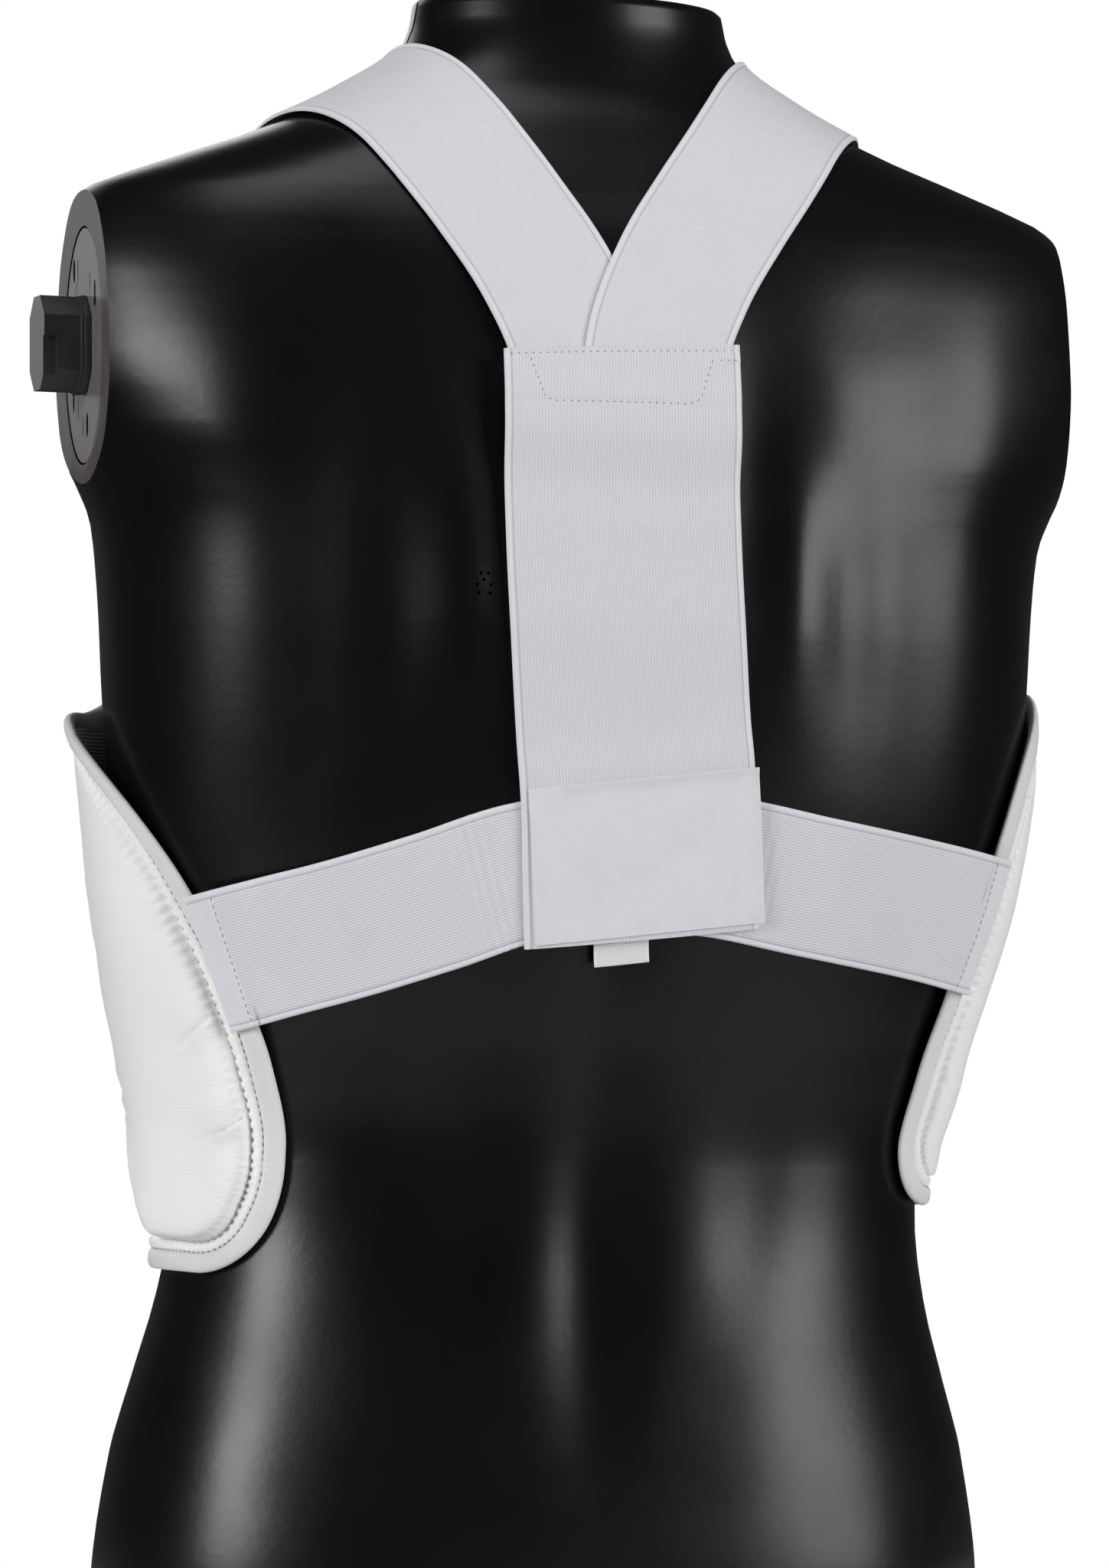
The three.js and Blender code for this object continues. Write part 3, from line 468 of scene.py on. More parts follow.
# Slots through the plate, from its middle: back, up, half height, half width.
SLOTS = [
    (-19, 33, 5.2, 2.1), (-11.5, 33, 4.6, 0.7),
    (6.5, -34, 5.2, 2.1), (-2, -34, 4.6, 0.7),
    (21, 22, 4.6, 1.6), (21, 17.5, 2.4, 2.4), (11.5, 26, 5.0, 0.6),
    (-20, -23, 4.6, 1.6), (-20, -18.5, 2.4, 2.4), (-11, -27, 5.0, 0.6),
]
PLATE_OVAL = (49.8, 35.2)
PLATE_BACK = 0.3  # how far the plate's middle lies behind the joint's

for way, word in ((1, "left"), (-1, "right")):
    spot = (way * (ARM_FACE - 1.9), ARM_MIDDLE[0] + PLATE_BACK, ARM_MIDDLE[1])
    plate = named(rod(spot, 3.2, PLATE_OVAL, 96, UPRIGHT_OVAL), f"plate_{word}")
    holes = []
    for back, up, tall, wide in SLOTS:
        spot = (way * (ARM_FACE - 3), ARM_MIDDLE[0] + back, ARM_MIDDLE[1] + up)
        holes.append(rod(spot, 9, (tall, wide), 20, UPRIGHT_OVAL))
    cut_out(plate, holes)
    round_edges(plate, 0.3, 2)
    plate.data.materials.append(plate_grey)
    plate.data.materials.append(slot_wall_painted_shade)
    # Faces inside the slots take the painted shade, and the rest take the plate's grey.
    for face in plate.data.polygons:
        from_middle = math.hypot(
            (face.center.y / MM - ARM_MIDDLE[0] - PLATE_BACK) / PLATE_OVAL[1],
            (face.center.z / MM - ARM_MIDDLE[1]) / PLATE_OVAL[0],
        )
        face.material_index = int(abs(face.normal.x) < 0.3 and from_middle < 0.96)
    put(plate, lean(at_joint(places_of(plate) / MM, way)))
    only(plate)
    bpy.ops.object.shade_smooth_by_angle(angle=math.radians(20))
    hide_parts(f"arm_plate_{word}")
    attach(plate, "root")

LUG_END = ARM_FACE + 20.0
bpy.ops.object.select_all(action="DESELECT")
bpy.ops.mesh.primitive_cube_add(size=1, location=(0, 0, 0))
lug = named(bpy.context.object, "lug")
lug.scale = (2.4 * MM, 31.2 * MM, 41.4 * MM)
lug.location = ((ARM_FACE + 1.2) * MM, ARM_MIDDLE[0] * MM, ARM_MIDDLE[1] * MM)
bpy.ops.object.transform_apply(location=True, rotation=True, scale=True)
pick(lug, "EDGE", lambda edge: edge_reach(lug, edge)[0] > 1 * MM)
bpy.ops.mesh.bevel(offset=9 * MM, segments=1, affect="EDGES")
bpy.ops.object.mode_set(mode="OBJECT")
pick(lug, "FACE", lambda face: face.normal.x > 0.9)
for inwards, outwards in ((0.35, 1.7), (0.35, 15.9)):
    bpy.ops.mesh.inset(thickness=inwards * MM, use_even_offset=True)
    bpy.ops.mesh.extrude_region_move(TRANSFORM_OT_translate={"value": (outwards * MM, 0, 0)})
bpy.ops.object.mode_set(mode="OBJECT")
middle = (LUG_END - 2, ARM_MIDDLE[0] + 17, ARM_MIDDLE[1] - 6)
notch = rod(middle, 1, (1, 1), 4, (0, 0, math.pi / 4))
spots = unit(places_of(notch) / MM - middle)
put(notch, (LUG_END - 0.5, ARM_MIDDLE[0] + 16.5, ARM_MIDDLE[1] - 6) + np.sign(spots) * (5, 4, 8.5))
cut_out(lug, [notch])
round_edges(lug, 0.35, 2)
lug.data.materials.append(lug_grey)
lug.data.materials.append(lug_end)
for face in lug.data.polygons:
    face.material_index = int(face.normal.x > 0.95 and face.center.x > (LUG_END - 1) * MM)
put(lug, lean(at_joint(places_of(lug) / MM, 1)))
only(lug)
bpy.ops.object.shade_smooth_by_angle(angle=math.radians(20))
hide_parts("arm_lug_left")
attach(lug, "root")

# ---- shoulder straps ------------------------------------------------------------------------
# Two lengths of ribbed white elastic with a smooth selvedge along both edges. They are sewn under
# the top of the back panel, the right one over the left, and run over the shoulders to the front.
NARROW = 60.0  # width of the straps and of the side bands
WALL = 1.5  # thickness of the elastic
GAP = 0.3  # between one layer and the next
SKIN_GAP = 0.8  # between the figure and what lies on it
# Middle line of a strap: across from the spine, degrees turned from straight back over the top,
# lift above the figure.
STRAP = np.array([
    (13, -23, 0),
    (16, -13, 0),
    (29, 4, 0),
    (48, 24, 0.1),
    (75, 52, 0.8),
    (98, 82, 1.4),
    (108, 112, 1.4),
    (109, 142, 0.6),
    (107, 164, 1),
    (105, 178, 5),
    (104, 190, 6),
])


def curve_through(rows, count):
    """Values between the rows of a table, by a smooth curve through them."""
    rows = np.asarray(rows, float)
    rows = np.vstack([2 * rows[0] - rows[1], rows, 2 * rows[-1] - rows[-2]])
    made = []
    for share in np.linspace(0, len(rows) - 3, count + 1):
        i = min(int(share), len(rows) - 4)
        t = share - i
        p0, p1, p2, p3 = rows[i : i + 4]
        g0, g1, g2 = [np.sqrt(np.linalg.norm(b - a)) for a, b in ((p0, p1), (p1, p2), (p2, p3))]
        t1 = ((p1 - p0) / g0 - (p2 - p0) / (g0 + g1) + (p2 - p1) / g1) * g1
        t2 = ((p2 - p1) / g1 - (p3 - p1) / (g1 + g2) + (p3 - p2) / g2) * g1
        bend = -3 * p1 + 3 * p2 - 2 * t1 - t2
        made.append(p1 + t1 * t + bend * t**2 + (2 * p1 - 2 * p2 + t1 + t2) * t**3)
    return np.array(made)


def figure_level(p):
    """Below 1 inside the figure and above 1 outside it."""
    half, back, front, square, middle = figure_at(p[..., 2])
    depth = p[..., 1] - middle
    reach = np.where(depth > 0, back, front)
    return (np.abs(p[..., 0]) / half) ** square + (np.abs(depth) / reach) ** square


def way_out(p):
    steps = 0.5 * np.eye(3)
    return unit(np.stack([figure_level(p + s) - figure_level(p - s) for s in steps], axis=-1))


def come_in(far, near):
    """Where a line from a far point to a near one first meets the figure."""
    outside, inside = np.zeros(far.shape[:-1]), np.ones(far.shape[:-1])
    found = np.zeros(far.shape[:-1], bool)
    for i in range(1, 61):
        now = (figure_level(far + (near - far) * (i / 60)) < 1) & ~found
        outside[now], inside[now] = (i - 1) / 60, i / 60
        found |= now
    for _ in range(24):
        t = (outside + inside) / 2
        hit = figure_level(far + (near - far) * t[..., None]) < 1
        inside, outside = np.where(hit, t, inside), np.where(hit, outside, t)
    return far + (near - far) * outside[..., None]


def cloth_grid(name, columns, rows, lay, cut):
    """A flat grid of cloth laid in place. lay and cut give, from column and row numbers, the places
    in millimetres and the spots on the flat cut in millimetres."""
    bpy.ops.object.select_all(action="DESELECT")
    bpy.ops.mesh.primitive_grid_add(x_subdivisions=columns, y_subdivisions=rows, size=1)
    piece = named(bpy.context.object, name)
    spots = places_of(piece) + 0.5
    column = np.rint(spots[:, 0] * columns).astype(int)
    row = np.rint(spots[:, 1] * rows).astype(int)
    flat = cut(column, row) * MM
    corners = np.empty(len(piece.data.loops), int)
    piece.data.loops.foreach_get("vertex_index", corners)
    piece.data.uv_layers["UVMap"].data.foreach_set("uv", flat[corners].ravel())
    put(piece, lay(column, row))
    return piece


def give_wall(piece, wall, shares=None):
    """Turns a laid sheet into a closed one with a wall outwards, thinner where shares says so."""
    only(piece)
    sheet = piece.modifiers.new("wall", "SOLIDIFY")
    sheet.thickness = wall * MM
    sheet.offset = 1
    if shares is not None:
        group = piece.vertex_groups.new(name="wall")
        for i, share in enumerate(shares):
            group.add([i], float(share), "REPLACE")
        sheet.vertex_group = "wall"
    bpy.ops.object.modifier_apply(modifier=sheet.name)
    piece.vertex_groups.clear()
    bpy.ops.object.shade_smooth_by_angle(angle=math.radians(75))


def spots_on_cut(piece):
    """Each vertex's spot on the flat cut, in millimetres."""
    corners = np.empty(len(piece.data.loops), int)
    piece.data.loops.foreach_get("vertex_index", corners)
    spots = np.empty(len(piece.data.loops) * 2)
    piece.data.uv_layers["UVMap"].data.foreach_get("uv", spots)
    flat = np.empty((len(piece.data.vertices), 2))
    flat[corners] = spots.reshape(-1, 2) / MM
    return flat


# How the wall changes in from an edge of elastic: a rounded bead, then a groove.
EDGE_SPOTS = np.array([0, 0.35, 0.8, 1.4, 2.0, 2.4, 2.8, 3.2, 3.8, 5.0])
EDGE_WALL = np.array([0.35, 0.75, 0.95, 1.0, 0.96, 0.86, 0.74, 0.84, 0.94, 0.95])


def band_columns(width):
    middle = np.linspace(-width / 2 + 5, width / 2 - 5, int(width / 2.2))
    return np.concatenate([-width / 2 + EDGE_SPOTS[:-1], middle, width / 2 - EDGE_SPOTS[-2::-1]])


def band_frames(line, width, along, slide):
    """Along a line on the figure, the surface points under each row of a band and the ways out."""
    ahead = unit(np.vstack([line[1:], line[-1:]]) - np.vstack([line[:1], line[:-1]]))
    out = way_out(line)
    across = unit(np.cross(ahead, out))
    offsets = band_columns(width)
    start = line[:, None] + across[:, None] * offsets[None, :, None]
    if slide is not None:
        start = start + ahead[:, None] * slide(offsets[None, :], along[:, None])[..., None]
    hit = come_in(start + 50 * out[:, None], start - 60 * out[:, None])
    return hit, way_out(hit), offsets


def run_along(points):
    """How far along a line each of its points lies."""
    return np.concatenate([[0], np.cumsum(np.linalg.norm(np.diff(points, axis=0), axis=1))])


def curve_at(points, lengths, spots):
    """Points along a curve at some lengths from its start."""
    return np.stack([np.interp(spots, lengths, points[:, k]) for k in range(3)], axis=-1)


def lay_elastic(name, line, lifts, width, rise, hem_last=False, slide=None):
    """Lays a length of elastic. rise gives its bumps from the places across and along it, the
    folded end being at 0; slide moves its rows along it."""
    lengths = run_along(line)
    total = lengths[-1]
    hem = np.arange(8.6, 13, 0.4)
    even = np.linspace(0, total, int(total / 1.25))
    stations = np.unique(np.concatenate([even, total - hem if hem_last else hem]))
    line = curve_at(line, lengths, stations)
    lifts = np.interp(stations, lengths, lifts)
    along = total - stations if hem_last else stations
    hit, out, offsets = band_frames(line, width, along, slide)
    lift = lifts[:, None] + rise(offsets[None, :], along[:, None])
    places = lean(hit + out * lift[..., None])
    piece = cloth_grid(
        name,
        len(offsets) - 1,
        len(line) - 1,
        lambda column, row: places[row, column],
        lambda column, row: np.stack([offsets[column], along[row]], axis=-1),
    )
    from_edge = width / 2 - np.abs(spots_on_cut(piece)[:, 0])
    give_wall(piece, WALL, np.interp(from_edge, EDGE_SPOTS, EDGE_WALL))
    order = np.argsort(along)
    return piece, total, {"offsets": offsets, "along": along[order], "hit": hit[order], "out": out[order]}


HEM = 10.6  # how far a folded end of elastic is turned under


def hump(value, middle, wide):
    """A soft hump, 1 at the middle and 0 well beyond its half width."""
    return np.exp(-(((value - middle) / wide) ** 2))


def folded_end(across, along):
    """A doubled end, drawn down along its sewing."""
    return 0.8 * (1 - smoothstep(along, HEM - 0.6, HEM + 1.0)) - 0.45 * hump(along, HEM, 0.7)


# SHADED is painted shade: the colour laid into the rib valleys and into the groove inside each edge bead.
WHITE = (0.76, 0.76, 0.805)
SHADED = (0.45, 0.45, 0.5)


def elastic_finish(name, width, rib, pick, rib_valley_shade, picking, smooth_end=False):
    """Knitted elastic with lengthwise ribs, picks across them and a smooth bead at each edge.
    rib and pick are how far apart those are. The next two give how dark the painted shade in the rib
    valleys is and how strongly the picks stand out in relief. smooth_end fades the ribs, the picks and the
    painted rib shade over the folded end."""
    cloth = Finish(name, 0.82, Sheen_Weight=0.2, Sheen_Roughness=0.5, Specular_IOR_Level=0.25)
    flat, across, along = cloth.on_cloth()
    inside = cloth.sum("SUBTRACT", width / 2 * MM, cloth.sum("ABSOLUTE", across))
    body = cloth.within(inside, 2.7 * MM, 3.4 * MM)
    if smooth_end:
        past_hem = cloth.within(along, (HEM - 0.5) * MM, (HEM + 0.5) * MM, 0.25, 1.0)
        body = cloth.sum("MULTIPLY", body, past_hem)
    ribs = cloth.wave(across, rib * MM)
    number = cloth.sum("FLOOR", cloth.sum("DIVIDE", across, rib * MM))
    shift = cloth.sum("MULTIPLY", number, math.pi)
    picks = cloth.wave(along, pick * MM, shift)
    height = cloth.sum("MULTIPLY_ADD", picks, picking, cloth.sum("MULTIPLY", ribs, 0.8))
    fuzz = cloth.noise(flat, 2600.0, 2.0)
    height = cloth.sum("MULTIPLY_ADD", fuzz, 0.35, cloth.sum("MULTIPLY", height, body))
    # Painted shade: a dark line along the groove 2.85 mm in from each edge, then darker colour in the rib
    # valleys. Random patches of tone lie over both.
    line = cloth.sum("SUBTRACT", inside, 2.85 * MM)
    line = cloth.sum("DIVIDE", line, 0.38 * MM)
    line = cloth.sum("EXPONENT", cloth.sum("MULTIPLY", cloth.sum("MULTIPLY", line, line), -1.0))
    shade = cloth.sum("MULTIPLY", cloth.sum("SUBTRACT", 1.0, ribs), cloth.sum("MULTIPLY", body, rib_valley_shade))
    shade = cloth.sum("MULTIPLY_ADD", line, 0.8, shade)
    patchy = cloth.noise(flat, 45.0, 3.0)
    shade = cloth.sum("MULTIPLY_ADD", patchy, 0.1, shade)
    cloth.colour(shade, WHITE, SHADED)
    cloth.relief(height, 0.0002)
    return cloth.material


narrow_elastic = elastic_finish(
    "narrow_elastic", NARROW, rib=1.15, pick=0.8, rib_valley_shade=0.2, picking=0.0, smooth_end=True
)
STRAP_ROWS = 150
PIVOT_UP = 600.0  # height of the line that a strap turns about
FAR_OUT = 220.0  # clear of the figure, from that line
straps = {}
for way, word, layer in ((1, "left", 0), (-1, "right", 1)):
    table = curve_through(STRAP, STRAP_ROWS)
    turn = np.radians(table[:, 1])
    across = way * table[:, 0] + 4 * (1 - smoothstep(table[:, 1], -20, 60))
    pivot = np.stack([across, np.zeros_like(across), np.full_like(across, PIVOT_UP)], axis=-1)
    reach = np.stack([np.zeros_like(turn), np.cos(turn), np.sin(turn)], axis=-1)
    line = come_in(pivot + FAR_OUT * reach, pivot)
    crossing = 1 - smoothstep(table[:, 1], 8, 34)
    lifts = SKIN_GAP + table[:, 2] + layer * (WALL + GAP) * crossing
    strap, length, grid = lay_elastic(f"strap_{word}", line, lifts, NARROW, folded_end, hem_last=True)
    strap.data.materials.append(narrow_elastic)
    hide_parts(f"shoulder_strap_{word}")
    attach(strap, "root")
    straps[word] = (strap, grid)

# ---- side bands -----------------------------------------------------------------------------
# Two lengths of the same narrow elastic, sewn flat on the wings of the padded front with a
# folded end, and held behind the back panel where they meet.
# Middle line of the two bands, from the left wing to the right one: girth units from the middle
# of the back, height, lift above the figure.
WAIST = np.array([
    (183, 317, 6.2),
    (170, 320, 6.2),
    (150, 324.5, 2.4),
    (121, 331.5, 0),
    (80, 344, 0),
    (42, 357, 0),
    (0, 363, 0),
    (-40, 362, 0),
    (-90, 354, 0),
    (-140, 346.5, 0),
    (-162, 343.5, 2.4),
    (-180, 341, 6.2),
    (-192, 339.5, 6.2),
])


def band_rise(across, along):
    """The folded end with its corners turned up a little, and ripples where the panel grips it."""
    corner = smoothstep(np.abs(across), 24, 30) * (1 - smoothstep(along, 0, 9))
    ripples = 0.28 * np.sin(along * 2 * math.pi / 4.3 + across / 9) * hump(along, 122, 7)
    return folded_end(across, along) + 0.7 * corner + ripples


waist = curve_through(WAIST, 300)
bands = {}
for way, word in ((1, "left"), (-1, "right")):
    table = waist[waist[:, 0] > 1] if way > 0 else waist[waist[:, 0] < -1]
    line = girth_point(500 - table[:, 0], table[:, 1])
    lifts = SKIN_GAP + np.maximum(table[:, 2], 0)
    band, length, grid = lay_elastic(f"band_{word}", line, lifts, NARROW, band_rise, hem_last=way < 0)
    band.data.materials.append(narrow_elastic)
    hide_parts(f"side_band_{word}")
    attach(band, "root")
    bands[word] = (band, grid)

# ---- back panel -----------------------------------------------------------------------------
# A wide length of ribbed elastic that hangs down the back. The crossed straps are sewn under its
# top end, which is turned in, and its lower end lies over the side bands.
WIDE = 100.0  # width of the panel
OVER_STRAPS = 2 * (WALL + GAP) + 0.5
OVER_BANDS = WALL + GAP
# Middle line of the panel from its top end down: across, height, lift above the figure.
PANEL = np.array([
    (3.2, 577, OVER_STRAPS),
    (3.8, 542, OVER_STRAPS),
    (4, 520, 0.4),
    (3.4, 495, 0),
    (1.2, 455, 0),
    (-2, 418, 0.4),
    (-4, 401, OVER_BANDS + 0.2),
    (-6, 384, OVER_BANDS + 0.1),
    (-8.2, 360, OVER_BANDS),
    (-11.4, 331, OVER_BANDS),
])


def back_point(x, z):
    """The point of the back straight before a place to the side and up."""
    x, z = np.broadcast_arrays(np.asarray(x, float), np.asarray(z, float))
    far = np.stack([x, np.full_like(x, 250), z], axis=-1)
    return come_in(far, far * (1, 0, 1))


def panel_slide(across, along):
    """Levels the top edge, which is sewn square to the figure and not to the panel's own line."""
    return (2 + 3.65 * across / 50) * (1 - smoothstep(along, 0, 45))


def panel_rise(across, along):
    """The top end, turned in and drawn down at its sewing, with the corner folded twice."""
    turned_in = 0.5 * (1 - smoothstep(along, 22, 25)) - 0.3 * hump(along, 2.4, 0.9)
    corner = 0.5 * smoothstep(-across, 40, 44) * (1 - smoothstep(along, 6, 9))
    return turned_in + corner


wide_elastic = elastic_finish("wide_elastic", WIDE, rib=1.3, pick=0.9, rib_valley_shade=0.34, picking=0.06)
table = curve_through(PANEL, 150)
line = back_point(table[:, 0], table[:, 1])
lifts = SKIN_GAP + np.maximum(table[:, 2], 0)
panel, panel_length, panel_grid = lay_elastic("panel", line, lifts, WIDE, panel_rise, slide=panel_slide)
panel.data.materials.append(wide_elastic)
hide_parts("back_panel")
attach(panel, "root")

# ---- closure patch --------------------------------------------------------------------------
# The smooth, brushed back of a hook tape, stuck down over the panel's lower end and the bands.
# Its edges are soft, and its top edge and right side stand a little off the cloth below.
PATCH = {"x": -10.5, "z": 366.0, "wide": 98.0, "high": 65.0, "turn": 7.0}


def lay_patch(name, patch, lift, columns, rows, rise):
    """A small flat piece laid on the back, turned about its middle."""
    angle = math.radians(patch["turn"])

    def flat(column, row):
        return np.stack([
            patch["wide"] * (column / columns - 0.5), patch["high"] * (row / rows - 0.5)
        ], axis=-1)

    def lay(column, row):
        a, u = flat(column, row).T
        hit = back_point(
            patch["x"] + a * math.cos(angle) + u * math.sin(angle),
            patch["z"] - a * math.sin(angle) + u * math.cos(angle),
        )
        return lean(hit + way_out(hit) * (lift + rise(a, u))[..., None])

    return cloth_grid(name, columns, rows, lay, flat)


def patch_rise(a, u):
    """Soft dimples, the lifted top edge and the folds along the right side."""
    from_side = PATCH["wide"] / 2 - np.abs(a)
    from_end = PATCH["high"] / 2 - np.abs(u)
    inner = smoothstep(np.minimum(from_side, from_end), 0, 12)
    dimple = 0.3 * np.sin(a / 13 + u / 21) * np.sin(u / 11 - a / 37 + 1)
    dimple = dimple + 0.08 * np.sin(a / 2.9 + 1.3 * np.sin(u / 4)) * np.sin(u / 3.1 + 1.7 * np.sin(a / 6))
    top_lip = 0.9 * hump(u, PATCH["high"] / 2, 2.6) * (1 - smoothstep(a, 32, 36))
    folds = 0.75 * hump(-a, 44.5, 3.0) - 0.35 * hump(-a, 38.5, 2.2)
    folds = folds + 0.4 * hump(-a, 34.5, 2.4) * smoothstep(-u, -26, 10)
    return dimple * inner + top_lip + folds * smoothstep(from_end, 0, 6) * (0.8 + 0.3 * np.sin(u / 9))


OVER_PANEL = SKIN_GAP + OVER_BANDS + WALL + 2 * GAP
patch = lay_patch("closure", PATCH, OVER_PANEL, 98, 66, patch_rise)
flat = spots_on_cut(patch)
left_in, right_in = PATCH["wide"] / 2 - flat[:, 0], PATCH["wide"] / 2 + flat[:, 0]
end_in = PATCH["high"] / 2 - np.abs(flat[:, 1])
thin = (0.3 + 0.7 * smoothstep(end_in, 0, 2.4)) * (0.35 + 0.65 * smoothstep(right_in, 0, 2.4))
give_wall(patch, 1.8, thin * (0.25 + 0.75 * smoothstep(left_in, 0, 12)))
brushed_cloth = plain_finish(
    "brushed_cloth",
    0.9,
    ((0.79, 0.79, 0.83), (0.72, 0.72, 0.765)),
    (60.0, 4.0),
    grain=(1500.0, 4.0, 0.7),
    depth=0.00022,
    flat=True,
    Sheen_Weight=0.4,
    Sheen_Roughness=0.4,
    Specular_IOR_Level=0.2,
)
patch.data.materials.append(brushed_cloth)
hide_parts("closure_patch")
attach(patch, "root")

# ---- size label -----------------------------------------------------------------------------
# A short woven white tape, folded double and caught under the panel's lower end. The real one
# gives the size; this one is left blank.
LABEL = {"x": -3.2, "z": 324.8, "wide": 23.5, "high": 10.0, "turn": 7.0}
label = lay_patch("label", LABEL, 1.6, 24, 10, lambda a, u: 0.12 * np.cos(a / 5) - 0.1 * np.cos(u / 1.3))
give_wall(label, 1.2)
round_edges(label, 0.45, 3, 60)
tape = Finish("label_tape", 0.6, Sheen_Weight=0.1, Specular_IOR_Level=0.3)
_, across, along = tape.on_cloth()
rim = tape.sum("SUBTRACT", LABEL["wide"] / 2 * MM, tape.sum("ABSOLUTE", across))
tape.colour(tape.within(rim, 0.0006, 0.0013, 0.15, 0.6), (0.88, 0.88, 0.88), (0.72, 0.72, 0.73))
threads = tape.sum("MULTIPLY_ADD", tape.wave(along, 0.0006), 0.5, tape.wave(across, 0.0006))
tape.relief(threads, 0.00008)
label.data.materials.append(tape.material)
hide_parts("size_label")
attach(label, "root")

# ---- padded front ---------------------------------------------------------------------------
# A sheet of foam between white polyester cloth and mesh, quilted along a gathered row of sewing
# about 20 mm in from its edge. Two wings wrap round to the back; two tabs take the straps.
NECKLINE = 512.0
HEM_MIDDLE = 172.0
TABS = {"inner": 64.0, "outer": 124.0, "inner_up": 588.0, "outer_up": 580.0}
# Each wing's tip and its height, upper edge and height, rear edge and height, hem height; sideways
# they are girth units from the centre front.
WINGS = {"left": (226, 420, 300, 385, 339, 232, 185), "right": (258, 440, 319, 410, 318, 247, 216)}
STRETCHES = (5, 4, 9, 3, 8, 5, 10)  # steps in each run of half the outline
HALF_WAY = sum(STRETCHES)
ALL_ROUND = 2 * HALF_WAY
CORE = (140.0, 345.0)  # half the length of the level line in the pad's middle, and its height
DEEPEST = 38.0  # how far in rows keep to the outline's shape
BOUND = 13.2  # the binding's row of sewing, in from the edge
SEWN = 20.6  # the gathered row of sewing, in from the edge where the border has its full width
FOAM_WAIST, FOAM_CHEST = 11.0, 6.4
UNDER = 1.5  # the lining and its gap, below the foam
PAD_GAP, PAD_EASE = 2.0, 1.8  # the edge's distance from the figure, and how much more in the middle
BRIDGE = 5.0  # by which the lower left wing stands off the waist's hollow
CURL = 11.0  # by which the left wing's tip curls outwards


def bezier(corners, t):
    a, b, c, d = [np.asarray(v, float) for v in corners]
    t = t[:, None]
    return a * (1 - t) ** 3 + 3 * b * t * (1 - t) ** 2 + 3 * c * t**2 * (1 - t) + d * t**3


def half_outline(wing):
    """The runs of one half of the pad's outline, from the neckline down to the hem."""
    tip, tip_up, upper, upper_up, rear, rear_up, hem = WINGS[wing]
    inner, outer = (TABS["inner"], TABS["inner_up"]), (TABS["outer"], TABS["outer_up"])
    tip_front, tip_back = (tip - 22, tip_up + 1), (tip + 18, tip_up - 9)
    corner = (rear - 44, hem)
    third = [np.add(inner, np.subtract(outer, inner) * s) for s in (1 / 3, 2 / 3)]
    return [
        [(0, NECKLINE), (38, NECKLINE), (56, NECKLINE + 22), inner],
        [inner, *third, outer],
        [outer, (129, 520), (150, tip_up + 8), tip_front],
        [tip_front, (tip - 6, tip_up + 2), (tip + 8, tip_up - 1), tip_back],
        [tip_back, (upper, upper_up), (rear, rear_up + 88), (rear, rear_up)],
        [(rear, rear_up), (rear, rear_up - 26), (rear - 17, hem), corner],
        [corner, (rear - 120, hem), (90, HEM_MIDDLE), (0, HEM_MIDDLE)],
    ]


def outline_at(number):
    """Points of the outline at whole and broken step numbers, counted from the neckline."""
    number = np.asarray(number, float) % ALL_ROUND
    right = number > HALF_WAY
    steps = np.where(right, ALL_ROUND - number, number)
    starts = np.concatenate([[0], np.cumsum(STRETCHES)])
    run = np.clip(np.searchsorted(starts, steps, side="right") - 1, 0, 6)
    made = np.empty((len(steps), 2))
    for wing, chosen in (("left", ~right), ("right", right)):
        runs = half_outline(wing)
        for k in range(7):
            mine = chosen & (run == k)
            if mine.any():
                made[mine] = bezier(runs[k], (steps[mine] - starts[k]) / STRETCHES[k])
    made[right, 0] *= -1
    return made


corners = outline_at(np.arange(ALL_ROUND))
sides = np.roll(corners, -1, axis=0) - corners
square_in = unit(np.stack([sides[:, 1], -sides[:, 0]], axis=-1))
inwards = unit(sum(np.roll(square_in, -k, axis=0) for k in range(-3, 3)))
closest = np.minimum((inwards * square_in).sum(1), (inwards * np.roll(square_in, 1, axis=0)).sum(1))
inwards = inwards / np.maximum(1 / 1.35, closest)[:, None]


def inwards_at(number):
    number = np.asarray(number, float) % ALL_ROUND
    i = number.astype(int)
    t = (number - i)[:, None]
    return inwards[i % ALL_ROUND] * (1 - t) + inwards[(i + 1) % ALL_ROUND] * t


def spaced(start, end, count):
    """Step numbers from start to end at equal distances along the outline."""
    fine = np.linspace(start, end, 4000)
    run = run_along(outline_at(fine))
    return np.interp(np.linspace(0, run[-1], count + 1), run, fine), run[-1]


def hem_share(number):
    """1 along the hem and the lower corners, 0 elsewhere."""
    number = np.asarray(number, float) % ALL_ROUND
    return smoothstep(number, 30.6, 33.2) * (1 - smoothstep(number, 54.8, 57.4))


def corner_share(number):
    """1 at a wing's lower rear corner, where the foam bellies out over its border."""
    number = np.asarray(number, float) % ALL_ROUND
    number = np.where(number > HALF_WAY, ALL_ROUND - number, number)
    return smoothstep(number, 24, 31) * (1 - smoothstep(number, 32.5, 35.5))


def border_share(number):
    """How wide the sewn border is, least at the left wing's tip and along the hem."""
    number = np.asarray(number, float) % ALL_ROUND
    tip = smoothstep(number, 17.5, 19.5) * (1 - smoothstep(number, 23.5, 27.8))
    return 0.84 - 0.22 * hem_share(number) - 0.36 * tip


